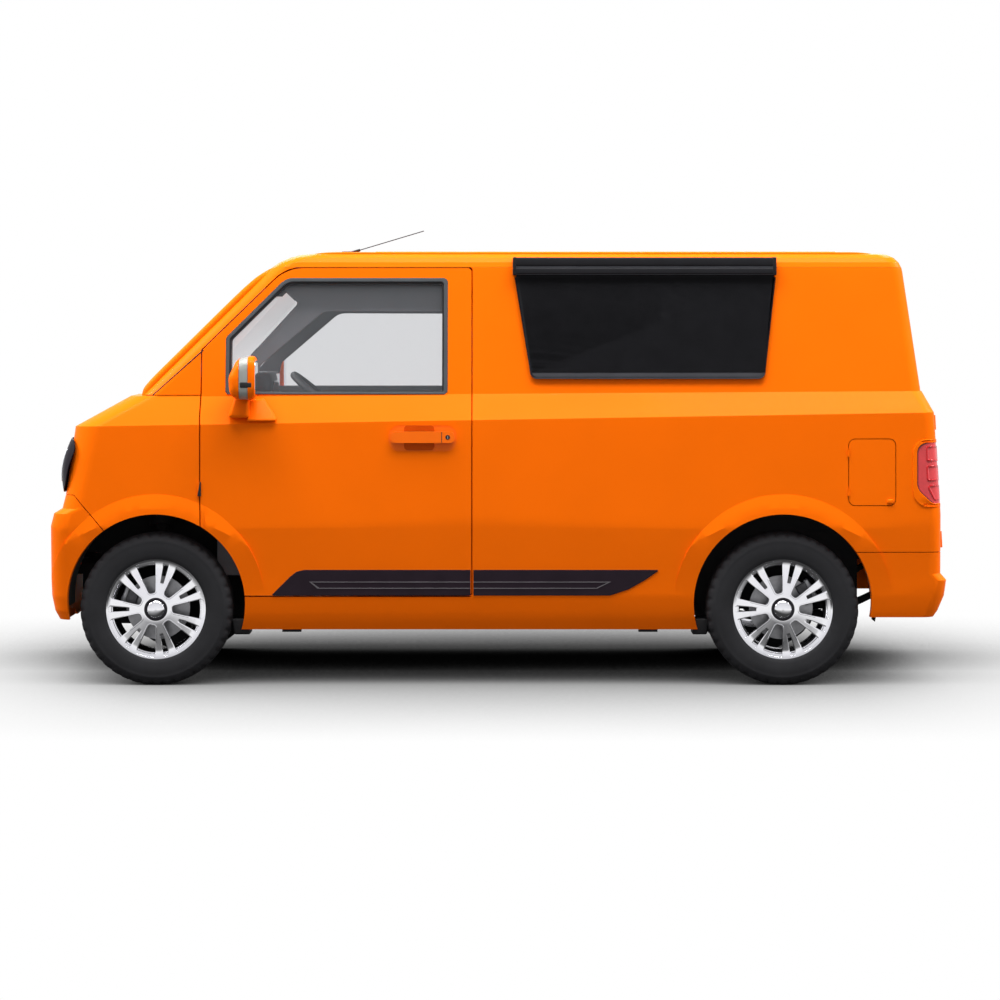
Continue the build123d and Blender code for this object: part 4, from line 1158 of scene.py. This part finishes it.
plate("roof_skin", [dense(rectangle(-0.71, 1.43, -0.555, 0.555, 0.05))], 0.012, roof_place, paint_roof,
      "body", 0.005)
for k, (y, x0) in enumerate(((-0.4, -0.46), (-0.2, -0.46), (0.0, -0.34), (0.2, -0.46), (0.4, -0.46))):
    block(f"roof_rib_{k}", (x0, y - 0.035, 1.6), (1.28, y + 0.035, 1.6085), paint, "body")
whip = tube("antenna_whip", [(-0.56, 0, 1.618), (-0.286, 0, 1.7)], 0.0018, rail_black, "body")
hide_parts("antenna")
tube("antenna_spring", [(-0.575, 0, 1.6135), (-0.535, 0, 1.6255)], 0.0055, rubber_dark, "body")
block("antenna_foot", (-0.61, -0.018, 1.602), (-0.56, 0.018, 1.62), rubber_dark, "body", 0.008)
told("roof pieces")

# %% [markdown]
# Seats are soft, so each pad is a crowned shape whose sides pull in between
# the corners. A cloth run with pressure could swell it. Here two fine grids are
# pushed by a formula, with sewn channels across the middle, which is quicker
# and enough for pads that show only through the glass.

# %% Seat pad helper
PAD_STEPS = 28
CHANNEL_EDGE = 0.62


def pad_height(u, v, size, crown, channels):
    """Height of the soft side; sewn channels press it in."""
    edge = (1 - abs(u) ** 4) * (1 - abs(v) ** 4)
    half = size[2] * 0.5 * (0.35 + 0.65 * max(edge, 0) ** 0.35)
    press = 0.0
    if channels:
        press = 0.008 * math.exp(-((abs(u) - CHANNEL_EDGE) / 0.03) ** 2)
        if abs(u) < CHANNEL_EDGE:
            at = [-CHANNEL_EDGE + 2 * CHANNEL_EDGE * c / (channels - 1) for c in range(channels)]
            press += sum(0.007 * math.exp(-((v - a) / 0.035) ** 2) for a in at)
    return half + crown * (1 - u * u) * (1 - v * v) - press, -half


def pad(name, size, place, mat, crown=0.018, channels=0):
    """Cushion of the given size; place maps its own (u, v, w), w being the soft side."""
    steps, row = PAD_STEPS, PAD_STEPS + 1
    top, bottom, faces = [], [], []
    marks = [math.sin(math.pi / 2 * (2 * k / steps - 1)) for k in range(row)]
    for u in marks:
        for v in marks:
            pull = 1 - 0.06 * (u * u * v * v)
            x = u * size[0] / 2 * (1 - 0.03 * (1 - v * v)) * pull
            y = v * size[1] / 2 * (1 - 0.03 * (1 - u * u)) * pull
            high, low = pad_height(u, v, size, crown, channels)
            top.append(place(x, y, high))
            bottom.append(place(x, y, low))
    under_side = len(top)
    for i in range(steps):
        for j in range(steps):
            a = i * row + j
            quad = (a, a + 1, a + row + 1, a + row)
            faces += [quad, tuple(under_side + k for k in reversed(quad))]
    ring = [i * row for i in range(row)] + [steps * row + j for j in range(1, row)]
    ring += [i * row + steps for i in range(steps - 1, -1, -1)] + [j for j in range(steps - 1, 0, -1)]
    faces += [(a, b, under_side + b, under_side + a) for a, b in zip(ring, ring[1:] + ring[:1])]
    obj = keep(from_points(name, top + bottom, faces, 80), mat, "body")
    return obj


print("pad helper ready")

# %% Seats
def leaned(base, degrees):
    """Placement for an upright pad: u across, v up along the lean, w forwards."""
    c, s = math.cos(math.radians(degrees)), math.sin(math.radians(degrees))
    return lambda u, v, w: (base[0] + v * s - w * c, base[1] + u, base[2] + v * c + w * s)


def lying(x, y, z):
    """Placement for a lying pad: u across, v backwards and a little down, w up."""
    return lambda u, v, w: (x + v, y + u, z + w - 0.04 * v)


for name, y in (("left", -0.345), ("right", 0.345)):
    base = pad(f"seat_cushion_{name}", (0.41, 0.41, 0.1), lying(-0.385, y, 0.55), cloth, 0.02, 4)
    if name == "left":
        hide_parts("seats")
    pad(f"seat_back_{name}", (0.4, 0.5, 0.085), leaned((-0.19, y, 0.845), 9.5), cloth, 0.016, 5)
    pad(f"seat_head_{name}", (0.25, 0.14, 0.065), leaned((-0.132, y, 1.168), 4), cloth, 0.008, 0)
    for k, dx in enumerate((-0.05, 0.05)):
        post = [(-0.146, y + dx, 1.06), (-0.134, y + dx, 1.13)]
        tube(f"head_post_{name}_{k}", post, 0.005, steel, "body")
    block(f"seat_stand_{name}", (-0.55, y - 0.18, 0.321), (-0.15, y + 0.18, 0.5), cab_dark, "body", 0.02)
    for wing, out in (("a", -0.188), ("b", 0.188)):
        place = lying(-0.395, y + out, 0.565)
        pad(f"seat_wing_{name}_{wing}", (0.06, 0.4, 0.12), place, cloth_edge, 0.008, 0)
told("seat pieces")

# %% [markdown]
# The cab shows through the glass: an instrument hood, a dark screen, vents and
# a glove box. One carved block would be heavy to shape, so the CAD dashboard
# gets plates and soft-edged blocks, as the real one has separate mouldings.

# %% Dashboard
def hood(co):
    swell = 0.02 * (1 - ((co.y + 0.34) / 0.2) ** 2)
    return (co.x, co.y, co.z + (swell if co.z > 1.12 else 0))


def dash_face(x):
    """Placement on an upright face of the dashboard."""
    return lambda u, v, w: (x + w, u, v)


block("dash_hood", (-1.0, -0.52, 1.07), (-0.845, -0.16, 1.145), cab_dark, "body", 0.03, hood)
plate("dash_cluster", [rectangle(-0.48, -0.2, 1.03, 1.12, 0.02)], 0.004,
      lambda u, v, w: (-0.852 + 0.12 * (v - 1.03) + w, u, v), screen_dark, "body")
block("dash_screen", (-0.905, -0.13, 1.0), (-0.862, 0.13, 1.15), cab_dark, "body", 0.01)
plate("dash_screen_glass", [rectangle(-0.122, 0.122, 1.008, 1.142, 0.008)], 0.003, dash_face(-0.8615),
      screen_dark, "body")
block("dash_pad", (-1.05, 0.16, 1.085), (-0.9, 0.6, 1.112), cab_dark, "body", 0.012)
for k, y in enumerate((-0.57, -0.16, 0.16, 0.57)):
    block(f"dash_vent_{k}", (-0.882, y - 0.045, 0.93), (-0.868, y + 0.045, 0.985), cab_dark, "body", 0.006)
    for j in range(4):
        z = 0.937 + 0.012 * j
        block(f"dash_slat_{k}_{j}", (-0.869, y - 0.038, z), (-0.862, y + 0.038, z + 0.006), cab_grey,
              "body", 0.002)
plate("glove_lid", [rectangle(0.2, 0.56, 0.76, 0.9, 0.02)], 0.006, dash_face(-0.884), cab_grey, "body",
      0.002)
plate("glove_latch", [rectangle(0.35, 0.41, 0.87, 0.888, 0.005)], 0.01, dash_face(-0.884), cab_dark, "body",
      0.003)
told("dashboard pieces")

# %% Steering wheel pad, stalks and pedals
AXIS, ACROSS = Vector((0.643, 0, 0.766)), Vector((0, 1, 0))
UPWARD = AXIS.cross(ACROSS)
WHEEL_SPOT = Vector((-0.64, -0.34, 1.03))


def on_wheel(u, v, w):
    return tuple(WHEEL_SPOT + ACROSS * u + UPWARD * v + AXIS * w)


pad_loop = rounded([(-0.085, -0.05), (0.085, -0.05), (0.07, 0.05), (-0.07, 0.05)], 0.025)
plate("wheel_pad", [pad_loop], 0.02, on_wheel, cab_dark, "steering_wheel", 0.007, sink=0.004)
trim_loop = rounded([(-0.02, -0.155), (0.02, -0.155), (0.03, -0.06), (-0.03, -0.06)], 0.008)
plate("wheel_trim", [trim_loop], 0.004, on_wheel, lamp_silver, "steering_wheel")
for name, y in (("stalk_left", -0.52), ("stalk_right", -0.16)):
    tube(f"column_{name}", [(-0.69, -0.34, 0.975), (-0.68, y, 0.995)], 0.006, cab_dark, "body")
for k, y in enumerate((-0.42, -0.3)):
    block(f"pedal_{k}", (-0.862, y - 0.035, 0.43), (-0.845, y + 0.035, 0.51), rubber_dark, "body", 0.005)
    tube(f"pedal_arm_{k}", [(-0.86, y, 0.5), (-0.884, y, 0.66)], 0.007, steel, "body")
told("steering and pedal pieces")

# %% [markdown]
# Linings hide the bare metal inside: a moulded panel on each door, a roof
# lining, and trim along the roof edge and down the pillar. A pale strip lies
# ahead of it and glows a little: painted light, which stands for daylight
# behind the glass. All are outlines laid on the inner wall, because that wall
# leans in as the outside does.

# %% Door linings
def door_inside(u, v, w):
    return (u, -0.633 + max(v - BELT_Z, 0) * 0.1447 + w, v)


lining_out = rounded([(-1.04, 0.4), (-1.04, 1.27), (-0.8, 1.51), (-0.15, 1.51), (-0.15, 0.4)],
                     [0.04, 0.05, 0.07, 0.03, 0.04])
lining_in = rounded([(-0.985, 1.084), (-0.985, 1.275), (-0.776, 1.484), (-0.204, 1.484), (-0.204, 1.084)],
                    [0.01, 0.02, 0.058, 0.01, 0.01])
pair(plate("door_lining_left", [dense(lining_out, 0.05), dense(lining_in, 0.05)], 0.012, door_inside,
           cab_grey, "door_left", 0.004))
pair(block("door_armrest_left", (-0.62, -0.623, 0.73), (-0.2, -0.575, 0.785), cab_dark, "door_left", 0.015))
pair(block("door_pocket_left", (-0.93, -0.622, 0.45), (-0.3, -0.59, 0.6), cab_dark, "door_left", 0.012))
pull_loop = rectangle(-0.9, -0.78, 0.86, 0.91, 0.015)
pair(plate("door_pull_left", [pull_loop], 0.016, lambda u, v, w: (u, -0.622 + w, v), lamp_silver,
           "door_left", 0.005))
told("door lining pieces")

# %% Roof edge, glowing pillar strip and cab fittings
def cab_wall(depth):
    """Placement on the inner wall of the cab, which leans in above the belt line."""
    return lambda u, v, w: (u, -depth + max(v - BELT_Z, 0) * LEAN_IN + w, v)


block("roof_lining", (-0.74, -0.52, 1.528), (0.02, 0.53, 1.5495), cab_pale, "body", 0.008)
edge_out = rounded([(0.018, 1.3795), (0.018, 1.532), (-0.765, 1.532), (-0.815, 1.482), (-0.783, 1.4497),
                    (-0.743, 1.4127), (-0.9163, 1.2207), (-1.033, 1.092), (-0.9, 1.092), (-0.8825, 1.1792),
                    (-0.6453, 1.3814)],
                   [0.006, 0.01, 0.02, 0.004, 0.01, 0.012, 0.02, 0.004, 0.01, 0.03, 0.07])
pair(plate("roof_edge_left", [dense(edge_out, 0.05)], 0.014, cab_wall(0.612), cab_grey, "body", 0.004))
# The pale strip ahead of the pillar glows: painted light for daylight behind the glass.
daylight_out = rounded([(-1.085, 1.13), (-1.09, 1.28), (-0.878, 1.482), (-0.818, 1.4238), (-1.0082, 1.2128),
                    (-1.04, 1.15)], 0.008)
pair(plate("pillar_trim_left", [daylight_out], 0.004, cab_wall(0.6195), pillar_pale, "body"))
for name, y in (("visor_left", -0.3), ("visor_right", 0.3)):
    block(name, (-0.71, y - 0.19, 1.5), (-0.55, y + 0.19, 1.522), cab_pale, "body", 0.008)
grab = [(-0.6, -0.5, 1.47), (-0.6, -0.465, 1.455), (-0.42, -0.465, 1.455), (-0.42, -0.5, 1.47)]
pair(tube("grab_left", grab, 0.009, cab_dark, "body", smooth=True))
block("cab_mirror", (-0.76, -0.11, 1.42), (-0.735, 0.11, 1.475), cab_dark, "body", 0.01)
tube("cab_mirror_stem", [(-0.755, 0, 1.46), (-0.79, 0, 1.515)], 0.008, cab_dark, "body")
told("roof edge and cab pieces")

# %% [markdown]
# The load space shows when the rear doors are open. Its floor and the wall to
# the cab have pressed ribs, which are rows of low bars made in a loop.

# %% Load space
for k in range(7):
    y = -0.42 + 0.14 * k
    block(f"cargo_rib_{k}", (0.1, y - 0.03, 0.494), (1.5, y + 0.03, 0.499), under, "body", 0.002)
for k in range(3):
    z = 0.75 + 0.25 * k
    block(f"bulkhead_rib_{k}", (0.0365, -0.5, z - 0.02), (0.043, 0.5, z + 0.02), cab_grey, "body", 0.003)
told("load space pieces")

# %% [markdown]
# Studio: a floor that is white to the camera and darkens close to the van, as
# a floor under a wide soft sky does. A real shadow on a bright floor would also
# light the sills from below. So an occlusion node draws the shadow for the
# camera alone, and to all other rays the floor is dark or fades to white.

# %% Floor
FLOOR_HALF = 60
floor_data = bpy.data.meshes.new("floor")
corners = [(-FLOOR_HALF, -FLOOR_HALF, 0), (FLOOR_HALF, -FLOOR_HALF, 0), (FLOOR_HALF, FLOOR_HALF, 0),
           (-FLOOR_HALF, FLOOR_HALF, 0)]
floor_data.from_pydata(corners, [], [(0, 1, 2, 3)])
floor = new_object("floor", floor_data)
floor_mat = finish("studio_floor", "black", (0.11, 0.11, 0.11), 0.8, vary=0.02, scale=0.5, spec=0.05)
floor_data.materials.append(floor_mat)
tree = floor_mat.node_tree
path = add(tree, "LightPath")
spot = add(tree, "TexCoord")
split = add(tree, "SeparateXYZ")
shade = add(tree, "AmbientOcclusion", {"Distance": 1.7}, samples=16)
depth = add(tree, "MapRange", {"From Min": -0.2, "From Max": 0.8, "To Min": 1.35, "To Max": 4.6})
aside = add(tree, "Math", operation="ABSOLUTE")
ends = add(tree, "MapRange", {"From Min": 1.3, "From Max": 2.1, "To Min": 1.0, "To Max": 0.4})
power = add(tree, "Math", operation="MULTIPLY")
tone = add(tree, "Math", operation="POWER")
white = add(tree, "Emission")
by_camera = add(tree, "MixShader")
wire(tree, (spot, "Object", split, "Vector"), (split, "Y", depth, "Value"), (split, "X", aside, 0),
     (aside, "Value", ends, "Value"), (depth, "Result", power, 0), (ends, "Result", power, 1),
     (shade, "AO", tone, 0), (power, "Value", tone, 1), (tone, "Value", white, "Strength"),
     (path, "Is Camera Ray", by_camera, "Fac"), (tree.nodes["Principled BSDF"], "BSDF", by_camera, 1),
     (white, "Emission", by_camera, 2))
print("floor nodes", len(tree.nodes))

# %% Floor as chrome sees it
# Glossy rays see a glowing floor that is dark near the van and white further out: painted shade in the
# reflections.
length = add(tree, "VectorMath", operation="LENGTH")
far = add(tree, "MapRange", {"From Min": 1.7, "From Max": 3.2, "To Min": 0.05, "To Max": 0.95})
reflected_floor_shade = add(tree, "Emission")
by_gloss = add(tree, "MixShader")
wire(tree, (spot, "Object", length, 0), (length, "Value", far, "Value"), (far, "Result", reflected_floor_shade, "Strength"),
     (path, "Is Glossy Ray", by_gloss, "Fac"), (by_camera, "Shader", by_gloss, 1),
     (reflected_floor_shade, "Emission", by_gloss, 2), (by_gloss, "Shader", tree.nodes["Material Output"], "Surface"))
print("floor nodes with glint", len(tree.nodes))

# %% [markdown]
# The sky is white to the camera and through glass. Diffuse light from it is
# weak and even, and chrome sees a bright band above the horizon, which gives
# the spokes their hard change from white to dark. One sky for all rays would
# wash out the paint.

# %% Sky
world = bpy.data.worlds.new("studio")
bpy.context.scene.world = world
world.use_nodes = True
tree = world.node_tree
path = add(tree, "LightPath")
spot = add(tree, "TexCoord")
split = add(tree, "SeparateXYZ")
sky = ramp(tree, (0.0, (0.5, 0.5, 0.51)), (0.9, (0.8, 0.8, 0.81)))
shine = ramp(tree, (0.0, (0.9, 0.9, 0.92)), (0.8, (0.6, 0.6, 0.62)))
by_gloss = add(tree, "Mix", data_type="RGBA")
direct = add(tree, "Math", operation="MAXIMUM")
by_eye = add(tree, "Mix", {"B": (1, 1, 1, 1)}, data_type="RGBA")
wire(tree, (spot, "Generated", split, "Vector"), (split, "Z", sky, "Fac"), (split, "Z", shine, "Fac"),
     (path, "Is Glossy Ray", by_gloss, "Factor"), (sky, "Color", by_gloss, "A"),
     (shine, "Color", by_gloss, "B"), (path, "Is Camera Ray", direct, 0),
     (path, "Is Transmission Ray", direct, 1), (direct, "Value", by_eye, "Factor"),
     (by_gloss, "Result", by_eye, "A"), (by_eye, "Result", tree.nodes["Background"], "Color"))
print("sky nodes", len(tree.nodes))

# %% [markdown]
# One long lamp hangs almost straight above the near side. Faces that lean up
# get much light and faces that tuck in get little, so each crease of the body
# shows. A lamp beside the camera would flatten them. Three weaker lamps keep
# the far side, the nose and the tail readable.

# %% Lamps
def lamp(name, place, aim, size, power):
    data = bpy.data.lights.new(name, "AREA")
    data.shape = "RECTANGLE"
    data.size, data.size_y = size
    data.energy = power
    obj = new_object(name, data)
    obj.location = place
    obj.rotation_euler = (Vector(aim) - Vector(place)).to_track_quat("-Z", "Y").to_euler()


lamp("lamp_left", (0, -2.5, 7.4), (0, -0.7, 0.8), (8, 3), 1130)
lamp("lamp_right", (0, 7.0, 5.5), (0, 0.7, 0.8), (7, 3), 380)
for name, end in (("lamp_front", -1), ("lamp_rear", 1)):
    lamp(name, (end * 6.5, 0, 5.0), (end * 1.5, 0, 0.8), (3, 2), 500)
print("lamps", len(bpy.data.lights))

# %% [markdown]
# The camera stands square to the left side, at standing eye height. Tilting it
# down would make the sides converge, so it looks level and the picture is
# shifted down instead, as with a technical camera.

# %% Camera
LOOK = (0.0115, -0.737, 0.6856)
DISTANCE = 12.0
EYE_Z = 1.3
FRAME_WIDTH = 3.685
cam_data = bpy.data.cameras.new("camera")
cam_data.sensor_width = 36
cam_data.lens = 36 * DISTANCE / FRAME_WIDTH
cam_data.shift_y = (LOOK[2] - EYE_Z) / FRAME_WIDTH
cam_data.clip_end = 300
camera = new_object("camera", cam_data)
camera.location = (LOOK[0], LOOK[1] - DISTANCE, EYE_Z)
camera.rotation_euler = (math.radians(90), 0, 0)
bpy.context.scene.camera = camera
bpy.context.scene.view_settings.view_transform = "Standard"
print("camera lens", round(cam_data.lens, 1))
